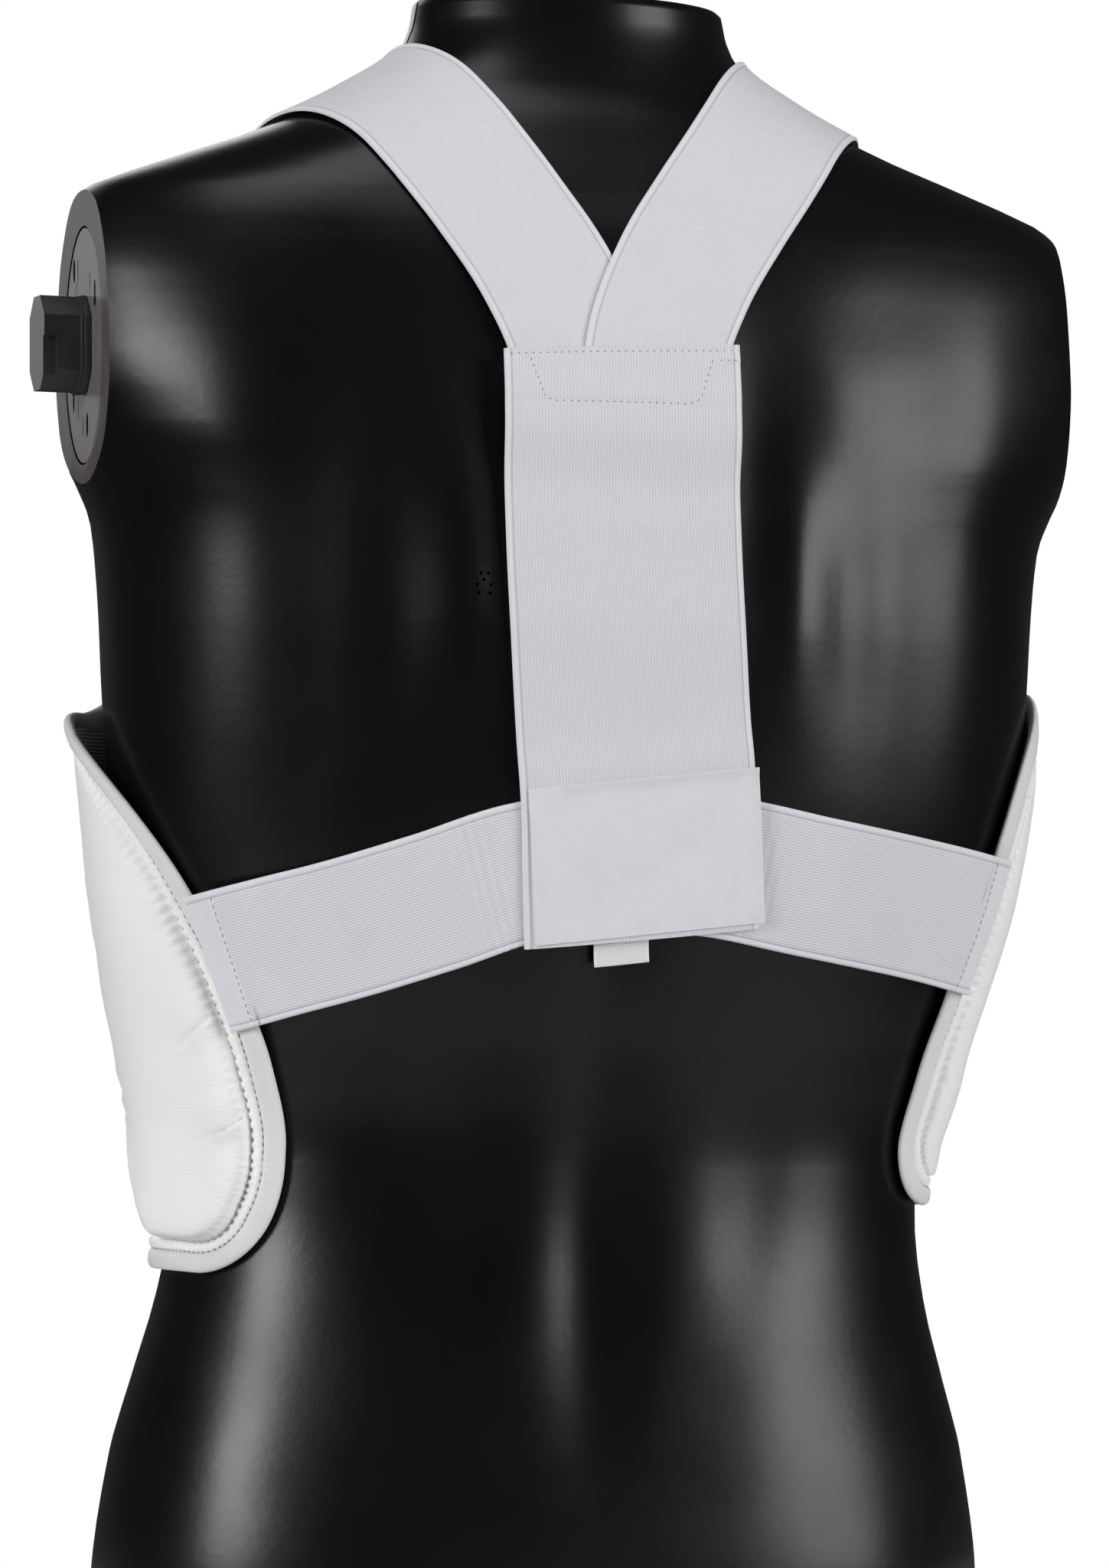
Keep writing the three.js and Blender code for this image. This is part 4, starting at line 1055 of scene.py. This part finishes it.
def ring_points(number, inset):
    """Places on the flat pad at distances in from its edge, where the sewn border is narrower
    than full width, most of all along the hem."""
    edge = outline_at(number)
    narrow = smoothstep(edge[:, 1], 400, 505)
    room = DEEPEST + (25 - DEEPEST) * narrow
    border = border_share(number)
    given = (1 - border) * SEWN * np.clip((DEEPEST - inset) / (DEEPEST - SEWN), 0, 1)
    drawn = np.where(inset < SEWN, inset * border, inset - given)
    shallow = np.minimum(drawn, DEEPEST)
    beyond = np.maximum(shallow - 20, 0) * (room - 20) / (DEEPEST - 20)
    return edge + inwards_at(number) * (np.minimum(shallow, 20) + beyond)[:, None]


def stand_off(place, up, inset):
    """How far the lining lies off the figure."""
    tip, tip_up = WINGS["left"][:2]
    away = np.hypot(place - tip, up - tip_up) / 60
    edge = 1 - smoothstep(inset, 0, 42)
    bridge = BRIDGE * np.exp(-(((place - 240) / 70) ** 2) - ((up - 238) / 62) ** 2) * (1 - edge)
    return PAD_GAP + PAD_EASE * (1 - edge) + CURL * np.exp(-away * away) * edge + bridge


def foam_at(place, up):
    """The foam's thickness, pressed thinner on the right wing and low on the front."""
    pressed = 0.7 * smoothstep(-place, 120, 250) * (1 - 0.35 * np.exp(-(((up - 262) / 26) ** 2)))
    low = 0.4 * (1 - smoothstep(up, 192, 300)) * (1 - 1.1 * smoothstep(place, 220, 275))
    foam = FOAM_WAIST + (FOAM_CHEST - FOAM_WAIST) * smoothstep(up, 300, 400)
    return foam * (1 - pressed) * (1 - low)


def flat_pad(half_columns, insets):
    """Columns round the pad, from the left wing's rear edge, and rows in from its edge. Deeper in
    than DEEPEST the rows run towards the level line in the middle, 100 more being all the way."""
    rear = sum(STRETCHES[:5])
    lower, lower_length = spaced(rear, ALL_ROUND - rear, half_columns)
    upper, upper_length = spaced(ALL_ROUND - rear, ALL_ROUND + rear, half_columns)
    number = np.concatenate([lower, upper[1:]])
    run = np.concatenate([
        np.linspace(0, lower_length, half_columns + 1),
        lower_length + np.linspace(0, upper_length, half_columns + 1)[1:],
    ])
    edge = outline_at(number)
    level = (edge[:, 0] + edge[::-1, 0]) / 2
    core = np.stack([CORE[0] * np.tanh(level / CORE[0]), np.full_like(level, CORE[1])], axis=-1)
    rows = []
    for inset in insets:
        ring = ring_points(number, inset)
        share = np.clip((inset - DEEPEST) / 100, 0, 1)
        rows.append(ring * (1 - share) + core * share)
    return run, number, np.array(rows), lower_length + upper_length


# How thick the sewn border is above the lining, in from the edge.
BORDER_PROFILE = ([10, 12.6, 14, 16, 19, SEWN, 24], [0.9, 1.3, 2.4, 2.7, 2.2, 1.4, 1.8])


def pad_lift(number, place, up, inset):
    """Height of the pad's face above the figure, without its sewing."""
    hem = hem_share(number)
    front = hem * (1 - smoothstep(np.abs(place), 240, 276))
    thick = np.interp(inset, *BORDER_PROFILE)
    rise = np.clip((inset - SEWN + 0.2) / (18 - 6 * hem + 22 * front), 0, 1)
    steepness = 0.55 - 0.12 * hem - 0.08 * corner_share(number) + 1.0 * front
    foam = np.clip(1 - (1 - rise) ** 2, 0, 1) ** steepness
    return stand_off(place, up, inset) + UNDER + thick + foam * foam_at(place, up)


def ruffle(run, seed, spacing):
    """Uneven values between -1 and 1 round the edge, one every so many millimetres."""
    count = round(outline_length / spacing)
    values = np.random.default_rng(seed).uniform(-1, 1, count)
    spot = run / outline_length * count
    i = np.floor(spot).astype(int)
    t = spot - i
    t = t * t * (3 - 2 * t)
    return values[i % count] * (1 - t) + values[(i + 1) % count] * t


GATHER, DASH = 4.9, 3.6  # length of a stitch in the gathered row and in the binding's row


def gathers(run):
    """Stitches of the gathered row passed so far round the edge."""
    return run / outline_length * round(outline_length / GATHER) + 0.3 * ruffle(run, 3, 13)


def dashes(run):
    """Stitches of the binding's row passed so far."""
    return run / outline_length * round(outline_length / DASH) + 0.2 * ruffle(run, 15, 9)


# Rows of the pad's face in from its edge, and of its back from the middle outwards.
FACE_INSETS = [
    10.6, 11.8, 12.9, 14, 15.3, 16.6, 17.8, 18.7, 19.5, 20.1, 20.6, 21.1, 21.7, 22.4, 23.2, 24, 24.9,
    25.9, 26.9, 28, 29.2, 30.5, 32, 33.7, 35.6, 38, 42, 47, 53, 60, 68, 77, 87, 98, 110, 124, 138,
]
BACK_INSETS = [138, 110, 80, 56, 38, 24, 13]
HALF_COLUMNS = 1000
pad_insets = np.array(BACK_INSETS + FACE_INSETS)
on_back = np.arange(len(pad_insets)) < len(BACK_INSETS)
run, pad_number, rows, outline_length = flat_pad(HALF_COLUMNS, pad_insets)

# Two deep tucks where the cover is caught at the gathered row: it sinks towards each and rises
# sharply below. Place and height along each, depth, width.
TUCKS = [
    ([(326, 300), (320, 298.5), (314, 296), (309, 292), (305, 288), (299, 283)], 4.6, 2.0),
    ([(330, 263), (325, 259), (320, 252), (314, 247), (309, 243.5), (302, 233)], 6.0, 2.6),
]
# Drag creases that start at the gathered row: place and height along each, then depth, half width.
CREASES = [
    ([(318, 330), (306, 333), (292, 331)], 0.8, 4),
    ([(322, 268), (308, 266), (290, 262)], 0.6, 5),
    ([(-303, 316), (-294, 312), (-282, 314)], 1.0, 3),
    ([(-300, 272), (-291, 266), (-278, 265)], 1.0, 3),
    ([(-60, 192), (-52, 204), (-50, 222)], 1.4, 3.5),
    ([(45, 192), (52, 206), (64, 216)], 1.5, 3.5),
    ([(150, 200), (146, 214), (150, 230)], 1.2, 3.5),
    ([(-165, 222), (-160, 236), (-166, 252)], 1.2, 3.5),
    ([(-30, 494), (-36, 480), (-34, 466)], 1.2, 3.5),
    ([(24, 494), (30, 482), (28, 466)], 1.2, 3.5),
    ([(168, 440), (158, 428), (150, 420)], 1.3, 3.5),
    ([(-176, 452), (-166, 440), (-158, 434)], 1.3, 3.5),
]
# Long, soft folds of the cover where it turns round the foam.
FOLDS = [
    ([(226, 330), (233, 298), (237, 252), (262, 212), (278, 204)], -1.2, 4.5),
    ([(214, 380), (222, 330), (226, 262), (240, 216)], 0.7, 9),
    ([(-236, 380), (-246, 320), (-244, 250), (-232, 214)], -0.8, 6),
    ([(-80, 440), (-88, 380), (-84, 300)], 0.8, 16),
    ([(70, 430), (80, 370), (74, 290)], 0.8, 16),
    ([(-60, 250), (0, 242), (66, 252)], 0.9, 14),
]


def along_line(corners, place, up):
    """Distance from a line, positive on its left, and the share of its length passed."""
    corners = np.asarray(corners, float)
    run = run_along(corners)
    nearest, signed, passed = np.full(place.shape, 1e9), np.zeros(place.shape), np.zeros(place.shape)
    for k in range(len(corners) - 1):
        a, ab = corners[k], corners[k + 1] - corners[k]
        away = np.stack([place - a[0], up - a[1]], axis=-1)
        t = np.clip(away @ ab / (ab @ ab), 0, 1)
        gap = away - t[..., None] * ab
        distance = np.hypot(gap[..., 0], gap[..., 1])
        mine = distance < nearest
        nearest = np.where(mine, distance, nearest)
        side = np.sign(ab[0] * gap[..., 1] - ab[1] * gap[..., 0])
        signed = np.where(mine, distance * np.where(side == 0, 1, side), signed)
        passed = np.where(mine, (run[k] + t * np.linalg.norm(ab)) / run[-1], passed)
    return signed, passed


def pad_relief(run, place, up, inset):
    """The gathered row, its puckers and the main creases, millimetres outwards."""
    beat = 2 * math.pi * gathers(run)
    pull = 0.75 + 0.3 * ruffle(run, 5, 19)
    pit = (0.5 + 0.5 * np.cos(beat)) ** 1.5 * pull
    bulge = (0.5 - 0.5 * np.cos(beat)) * pull
    away = inset - SEWN
    reach = 0.9 + 0.5 * (1 + ruffle(run, 9, 8))
    relief = -0.7 * hump(away, 0, 1.1)
    relief = relief - 2.0 * pit * hump(away, 0, 1.9)
    relief = relief + bulge * (1.2 * hump(away, 1.4, 1.2) + 0.9 * hump(away, -1.7, 1.3))
    relief = relief - 0.4 * pit * np.exp(-np.clip(away, 0, None) / reach) * smoothstep(away, 0.5, 2.5)
    small = 0.5 + 0.5 * np.cos(2 * math.pi * dashes(run))
    relief = relief - 0.55 * small * hump(inset, BOUND, 1.3)
    relief = relief + 0.35 * ruffle(run, 17, 5) * hump(inset, 16.6, 2.2)
    inner = smoothstep(away, 0, 2.5)
    for corners, depth, wide in TUCKS:
        gap, passed = along_line(corners, place, up)
        below = smoothstep(gap, -0.7, 0.7)
        sunk = (1 - below) * np.exp(np.clip(gap, None, 0) / wide) * (1 - smoothstep(-gap, 5, 11))
        raised = below * np.exp(-np.clip(gap, 0, None) / (1.7 * wide)) * (1 - smoothstep(gap, 3.5, 8.5))
        relief = relief + depth * (1 - passed**3) * inner * (0.6 * raised - sunk)
    for corners, depth, wide in CREASES:
        gap, passed = along_line(corners, place, up)
        fade = (1 - passed**2) * inner
        trough = hump(gap, 0, 0.45 * wide)
        roll = hump(gap, 1.1 * wide, wide) - 0.35 * hump(gap, -1.4 * wide, 1.2 * wide)
        relief = relief + depth * fade * (0.45 * roll - 0.55 * trough)
    for corners, depth, wide in FOLDS:
        gap, passed = along_line(corners, place, up)
        fade = np.clip(4 * passed * (1 - passed) * 1.5, 0, 1) * inner
        relief = relief - depth * fade * hump(gap, 0, wide)
    soft = 0.25 * np.sin(place / 17 + up / 31) * np.sin(up / 23 - place / 41)
    return relief + soft * inner


HEM_HANG, CORNER_HANG = 5.4, 4.4  # how far the foam sags over its border along the wings' hem


def lay_pad(column, row):
    inset, back = pad_insets[row], on_back[row]
    number, spot = pad_number[column], rows[row, column]
    hang = HEM_HANG * hem_share(number) * smoothstep(np.abs(spot[:, 0]), 225, 275)
    hang = np.maximum(hang, CORNER_HANG * corner_share(number))
    hang = hang * np.sin(math.pi * np.clip((inset - SEWN) / 14, 0, 1)) * ~back
    spot = spot - inwards_at(number) * hang[:, None]
    place, up = spot.T
    face = pad_lift(number, place, up, inset) + pad_relief(run[column], place, up, inset)
    behind = stand_off(place, up, inset) + UNDER
    return lean(on_figure(place, up, np.where(back, behind, face)))


def join_round(piece):
    """Joins the ends of a grid that was laid all the way round."""
    only(piece)
    bpy.ops.object.mode_set(mode="EDIT")
    bpy.ops.mesh.select_all(action="SELECT")
    bpy.ops.mesh.remove_doubles(threshold=0.00001)
    bpy.ops.mesh.normals_make_consistent(inside=False)
    bpy.ops.object.mode_set(mode="OBJECT")


pad = cloth_grid(
    "front_cover",
    2 * HALF_COLUMNS,
    len(pad_insets) - 1,
    lay_pad,
    lambda column, row: rows[row, column],
)
join_round(pad)
bpy.ops.object.shade_smooth()
cover = Finish("pad_cloth", 0.75, Sheen_Weight=0.3, Sheen_Roughness=0.5, Specular_IOR_Level=0.3)
flat, _, along = cover.on_cloth()
courses = cover.wave(along, 0.0022)
# The valleys between the courses are darkened in colour: painted shade in the weave's grooves, over random
# patches of tone.
course_shade_and_tone = cover.sum("MULTIPLY_ADD", courses, -0.22, cover.noise(flat, 30.0, 3.0))
cover.colour(course_shade_and_tone, (0.92, 0.915, 0.905), (0.85, 0.845, 0.84))
cover.relief(cover.sum("MULTIPLY_ADD", cover.noise(flat, 2200.0, 2.0), 0.8, courses), 0.00004)
pad.data.materials.append(cover.material)
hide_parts("front_pad")
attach(pad, "root")

# ---- mesh lining ----------------------------------------------------------------------------
# A thin grey polyester net on the pad's inner side, caught under the binding all round. It shows
# where the left wing's tip curls outwards.
LINING_INSETS = np.array([10.8, 16, 24, 38, 54, 72, 90, 108, 124, 138])
LINING_COLUMNS = 360
_, _, lining_rows, _ = flat_pad(LINING_COLUMNS // 2, LINING_INSETS)


def lay_lining(column, row):
    place, up = lining_rows[row, column].T
    return lean(on_figure(place, up, stand_off(place, up, LINING_INSETS[row])))


lining = cloth_grid(
    "lining",
    LINING_COLUMNS,
    len(LINING_INSETS) - 1,
    lay_lining,
    lambda column, row: lining_rows[row, column],
)
join_round(lining)
give_wall(lining, 1.0)
net = Finish("grey_net", 0.85, Specular_IOR_Level=0.2)
_, across, along = net.on_cloth()
number = net.sum("FLOOR", net.sum("DIVIDE", along, 0.0016))
staggered = net.wave(across, 0.0022, net.sum("MULTIPLY", number, math.pi))
holes = net.sum("MULTIPLY", staggered, net.wave(along, 0.0016))
# The net's holes are coloured near black: painted shade in the openings.
net.colour(net.within(holes, 0.15, 0.5), (0.5, 0.5, 0.5), (0.09, 0.09, 0.09))
net.relief(holes, 0.0004)
lining.data.materials.append(net.material)
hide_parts("mesh_lining")
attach(lining, "root")
x, y = outline_at(np.linspace(0, ALL_ROUND, 2000, endpoint=False)).T

# ---- edge binding ---------------------------------------------------------------------------
# A strip of the same white cloth rolled round the pad's edge and caught by the second row of
# sewing, which draws it in a little at each stitch.
# Angles about the roll's middle at which its rows lie, 0 being straight out from the pad's edge.
ROLL = np.radians(np.concatenate([np.linspace(-166, -100, 5), np.linspace(-80, 166, 16)]))
BINDING_COLUMNS = 1900
binding_run, binding_number, _, _ = flat_pad(BINDING_COLUMNS // 2, [0])


def lay_binding(column, row):
    angle, number, run = ROLL[row], binding_number[column], binding_run[column]
    hem = hem_share(number)
    beat = 2 * math.pi * (dashes(run) + 0.12 * hem * (1 + np.cos(angle)))
    drawn = 0.5 + 0.5 * np.cos(beat)
    near_sewing = np.clip(-np.cos(angle), 0, 1)
    upper = np.sin(angle) > 0
    across = border_share(number) * (1 + 0.03 * ruffle(run, 23, 30))
    inset = (6.5 * (1 - np.cos(angle)) - 0.35) * across
    thick = 2.3 + 0.3 * hem + 0.25 * ruffle(run, 25, 25) * np.cos(angle)
    thick = thick + (0.3 + 0.35 * hem) * ruffle(run, 27, 6) * near_sewing * 0.5
    lift = 2.1 + thick * np.sin(angle) * (1 - (0.35 + 0.2 * hem) * near_sewing * drawn)
    lift = lift + 0.9 * near_sewing * upper
    place, up = (outline_at(number) + inwards_at(number) * inset[:, None]).T
    return lean(on_figure(place, up, stand_off(place, up, inset) + lift))


binding = cloth_grid(
    "binding",
    BINDING_COLUMNS,
    len(ROLL) - 1,
    lay_binding,
    lambda column, row: np.stack([binding_run[column], row * 1.4], axis=-1),
)
join_round(binding)
cloth = binding.modifiers.new("cloth", "SOLIDIFY")
cloth.thickness = 0.45 * MM
cloth.offset = -1
apply_modifiers(binding)
bpy.ops.object.shade_smooth()
# The binding is coloured darker than the cover, although it is the same cloth: painted shade over the
# whole strip.
binding_cloth_painted_shade = plain_finish(
    "binding_cloth_painted_shade",
    0.78,
    ((0.75, 0.75, 0.745), (0.68, 0.68, 0.68)),
    (40.0, 3.0),
    grain=(1800.0, 3.0, 0.6),
    depth=0.0001,
    flat=True,
    Sheen_Weight=0.25,
    Sheen_Roughness=0.5,
    Specular_IOR_Level=0.3,
)
binding.data.materials.append(binding_cloth_painted_shade)
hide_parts("edge_binding")
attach(binding, "root")

# ---- sewing ---------------------------------------------------------------------------------
# White thread in short lock stitches, each sunk into the cloth between two needle holes, which are
# dark grey slits laid on the cloth as painted shade. One stitch is modelled and laid along every row.
bpy.ops.object.select_all(action="DESELECT")
bpy.ops.mesh.primitive_uv_sphere_add(segments=6, ring_count=4, radius=1)
stitch = bpy.context.object
stitch_points = places_of(stitch)
stitch_faces = [list(face.vertices) for face in stitch.data.polygons]
bpy.data.objects.remove(stitch)
tones = ((0.86, 0.86, 0.87), (0.66, 0.66, 0.69))
thread = plain_finish("white_thread", 0.6, tones, (900.0, 2.0), (4000.0, 2.0), 0.0001, Sheen_Weight=0.2)
# Needle holes are dark grey slits laid on the cloth: painted shade where the thread dives.
tones = ((0.2, 0.2, 0.21), (0.34, 0.34, 0.36))
needle_shade = plain_finish("needle_hole_painted_shade", 0.9, tones, (900.0, 2.0))


def surface_of(*pieces):
    made = []
    for piece in pieces:
        vertices = [v.co.copy() for v in piece.data.vertices]
        made.append(BVHTree.FromPolygons(vertices, [list(f.vertices) for f in piece.data.polygons]))
    return made


def sew(name, trees, path, stations, thread_size, slit_size):
    """A row of stitches along a path of points off the cloth, dropped onto it along the way in.
    path holds points, ways out and how far along each is, in millimetres before the lean. At the
    stations lie, in turn, a hump of thread and a dark grey slit, painted shade where it dives; sizes are
    long, wide, high."""
    points, outs, lengths = path
    vertices, faces, kinds = [], [], []
    for kind, size in ((0, thread_size), (1, slit_size)):
        ends = []
        for end in (-0.5, 0.5):
            spots = stations[kind::2] + end * size[0]
            p, out = [curve_at(field, lengths, spots) for field in (points, outs)]
            far, near = lean(p + 20 * out) * MM, lean(p - 20 * out) * MM
            hits = []
            for a, way in zip(far, unit(near - far)):
                struck = [tree.ray_cast(Vector(a), Vector(way), 0.06) for tree in trees]
                struck = [(hit[3], hit[0]) for hit in struck if hit[0] is not None]
                hits.append(np.array(min(struck)[1]) if struck else np.full(3, np.nan))
            ends.append(np.array(hits))
        out = unit(far - near)
        a, b = ends
        landed = ~(np.isnan(a).any(1) | np.isnan(b).any(1))
        good = landed & (np.linalg.norm(b - a, axis=1) < 1.6 * size[0] * MM)
        a, b, out = a[good], b[good], out[good]
        along = unit(b - a)
        side = unit(np.cross(out, along))
        out = np.cross(along, side)
        sunk = (0.12 if kind == 0 else 0.0) * MM
        half = np.array([size[1] / 2, size[2] / 2, 0]) * MM
        for i in range(len(a)):
            body = (
                (a[i] + b[i]) / 2
                - out[i] * sunk
                + along[i] * stitch_points[:, 2:3] * np.linalg.norm(b[i] - a[i]) / 2
                + side[i] * stitch_points[:, :1] * half[0]
                + out[i] * stitch_points[:, 1:2] * half[1]
            )
            first = len(vertices) * len(stitch_points)
            vertices.append(body)
            faces.extend([[v + first for v in f] for f in stitch_faces])
            kinds.extend([kind] * len(stitch_faces))
    mesh = bpy.data.meshes.new(name)
    mesh.from_pydata(np.concatenate(vertices).tolist(), [], faces)
    mesh.polygons.foreach_set("material_index", kinds)
    mesh.polygons.foreach_set("use_smooth", [True] * len(faces))
    row = bpy.data.objects.new(name, mesh)
    bpy.context.collection.objects.link(row)
    row.data.materials.append(thread)
    row.data.materials.append(needle_shade)
    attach(row, "root")


def pad_row(name, inset, phase, thread_size, slit_size):
    """A row round the pad, so far in from its edge."""
    place, up = ring_points(binding_number, np.full(len(binding_number), float(inset))).T
    foot, head = [on_figure(place, up, np.full(len(place), lift)) for lift in (12.0, 13.0)]
    path = (foot, unit(head - foot), binding_run)
    passed = phase(binding_run)
    halves = np.arange(math.ceil(passed[0]) + 0.5, passed[-1], 0.5)
    stations = np.interp(halves, passed, binding_run)
    sew(name, pad_tree, path, stations, thread_size, slit_size)


def elastic_path(grid, corners):
    """A line of sewing across a length of elastic, from corner to corner on its flat cut."""
    corners = np.asarray(corners, float)
    run = run_along(corners)
    steps = np.arange(0, run[-1], 0.5)
    across, along = [np.interp(steps, run, corners[:, k]) for k in (0, 1)]
    c = np.interp(across, grid["offsets"], np.arange(len(grid["offsets"])))
    r = np.interp(along, grid["along"], np.arange(len(grid["along"])))
    c0 = np.minimum(c.astype(int), len(grid["offsets"]) - 2)
    r0 = np.minimum(r.astype(int), len(grid["along"]) - 2)
    tc, tr = (c - c0)[:, None], (r - r0)[:, None]
    made = []
    for field in (grid["hit"], grid["out"]):
        low = field[r0, c0] * (1 - tc) + field[r0, c0 + 1] * tc
        high = field[r0 + 1, c0] * (1 - tc) + field[r0 + 1, c0 + 1] * tc
        made.append(low * (1 - tr) + high * tr)
    return made[0], unit(made[1]), steps


def elastic_row(name, piece, grid, corners, pitch, thread_size, slit_size):
    """A row on a length of elastic, from corner to corner."""
    path = elastic_path(grid, corners)
    stations = np.arange(0.6, path[2][-1] - 0.6, pitch / 2)
    sew(name, surface_of(piece), path, stations, thread_size, slit_size)


pad_tree = surface_of(pad, binding)
pad_row("gathered_row", SEWN, gathers, (2.0, 0.6, 0.4), (1.2, 0.65, 0.25))
pad_row("binding_row", BOUND, dashes, (1.3, 0.55, 0.4), (2.2, 0.7, 0.3))
ACROSS_END = [(-28.6, HEM), (28.6, HEM)]
for kind, pieces in (("band", bands), ("strap", straps)):
    for word, (piece, grid) in pieces.items():
        name = f"{kind}_row_{word}"
        elastic_row(name, piece, grid, ACROSS_END, 3.1, (1.1, 0.5, 0.35), (2.0, 0.6, 0.25))
ALONG_TOP = [(49, 2.4), (-49, 2.4)]
BELOW_TOP = [(39.5, 3.4), (33.5, 23.5), (29.5, 25), (-27, 25), (-32, 23), (-39, 3.4)]
CORNER = [(-39.5, 6.6), (-49, 6.6)]
for word, corners in (("top", ALONG_TOP), ("box", BELOW_TOP), ("corner", CORNER)):
    elastic_row(f"panel_row_{word}", panel, panel_grid, corners, 3.0, (1.5, 0.5, 0.4), (1.3, 0.5, 0.25))

# ---- camera, light and backdrop -------------------------------------------------------------
# The torso stands on a pale floor and is seen from behind, a little from its left, against plain
# white. Two upright softboxes light its back, with a weak light above and one in front.
LOOK = (-0.225, -0.974, 0)  # the way the camera points
bpy.ops.object.camera_add(location=(0.577, 2.535, 0.395))
camera = bpy.context.object
camera.rotation_euler = Vector(LOOK).to_track_quat("-Z", "Y").to_euler()
camera.data.lens = 137.9
camera.data.sensor_width = 36
camera.data.clip_end = 50
bpy.context.scene.camera = camera

bpy.ops.object.select_all(action="DESELECT")
bpy.ops.mesh.primitive_plane_add(size=1, location=(0, 0, 0))
floor = named(bpy.context.object, "floor")
floor.scale = (1.6, 1.3, 1)
floor.location = (-LOOK[0] * 0.24, -LOOK[1] * 0.24, -0.0005)
floor.rotation_euler = (0, 0, math.radians(-13))
bpy.ops.object.transform_apply(location=True, rotation=True, scale=True)
tones = ((0.86, 0.86, 0.86), (0.9, 0.9, 0.9))
floor.data.materials.append(plain_finish("floor_paper", 0.9, tones, (3.0, 2.0)))


def softbox(name, location, aim, size, power):
    bpy.ops.object.light_add(type="AREA", location=location)
    lamp = bpy.context.object
    lamp.name = name
    lamp.data.shape = "RECTANGLE"
    lamp.data.size, lamp.data.size_y = size
    lamp.data.energy = power
    lamp.rotation_euler = (Vector(aim) - Vector(location)).to_track_quat("-Z", "Y").to_euler()


softbox("left_box", (2.4, 1.4, 1.15), (0, 0, 0.45), (0.9, 1.35), 52)
softbox("right_box", (-2.1, 1.75, 1.1), (0, 0, 0.45), (1.3, 2.0), 52)
softbox("top_box", (0.1, 0.6, 2.6), (0, 0, 0.4), (1.4, 0.9), 10)
softbox("front_box", (0.4, -2.6, 1.4), (0, 0, 0.4), (1.8, 1.4), 15)
world = bpy.data.worlds.new("studio")
bpy.context.scene.world = world
world.use_nodes = True
wires = world.node_tree
seen = wires.nodes.new("ShaderNodeLightPath")
strength = wires.nodes.new("ShaderNodeMapRange")
wires.links.new(seen.outputs["Is Camera Ray"], strength.inputs["Value"])
strength.inputs["To Min"].default_value = 0.05
strength.inputs["To Max"].default_value = 1.0
wires.links.new(strength.outputs[0], wires.nodes["Background"].inputs["Strength"])
wires.nodes["Background"].inputs["Color"].default_value = (1, 1, 1, 1)
bpy.context.scene.view_settings.view_transform = "Standard"
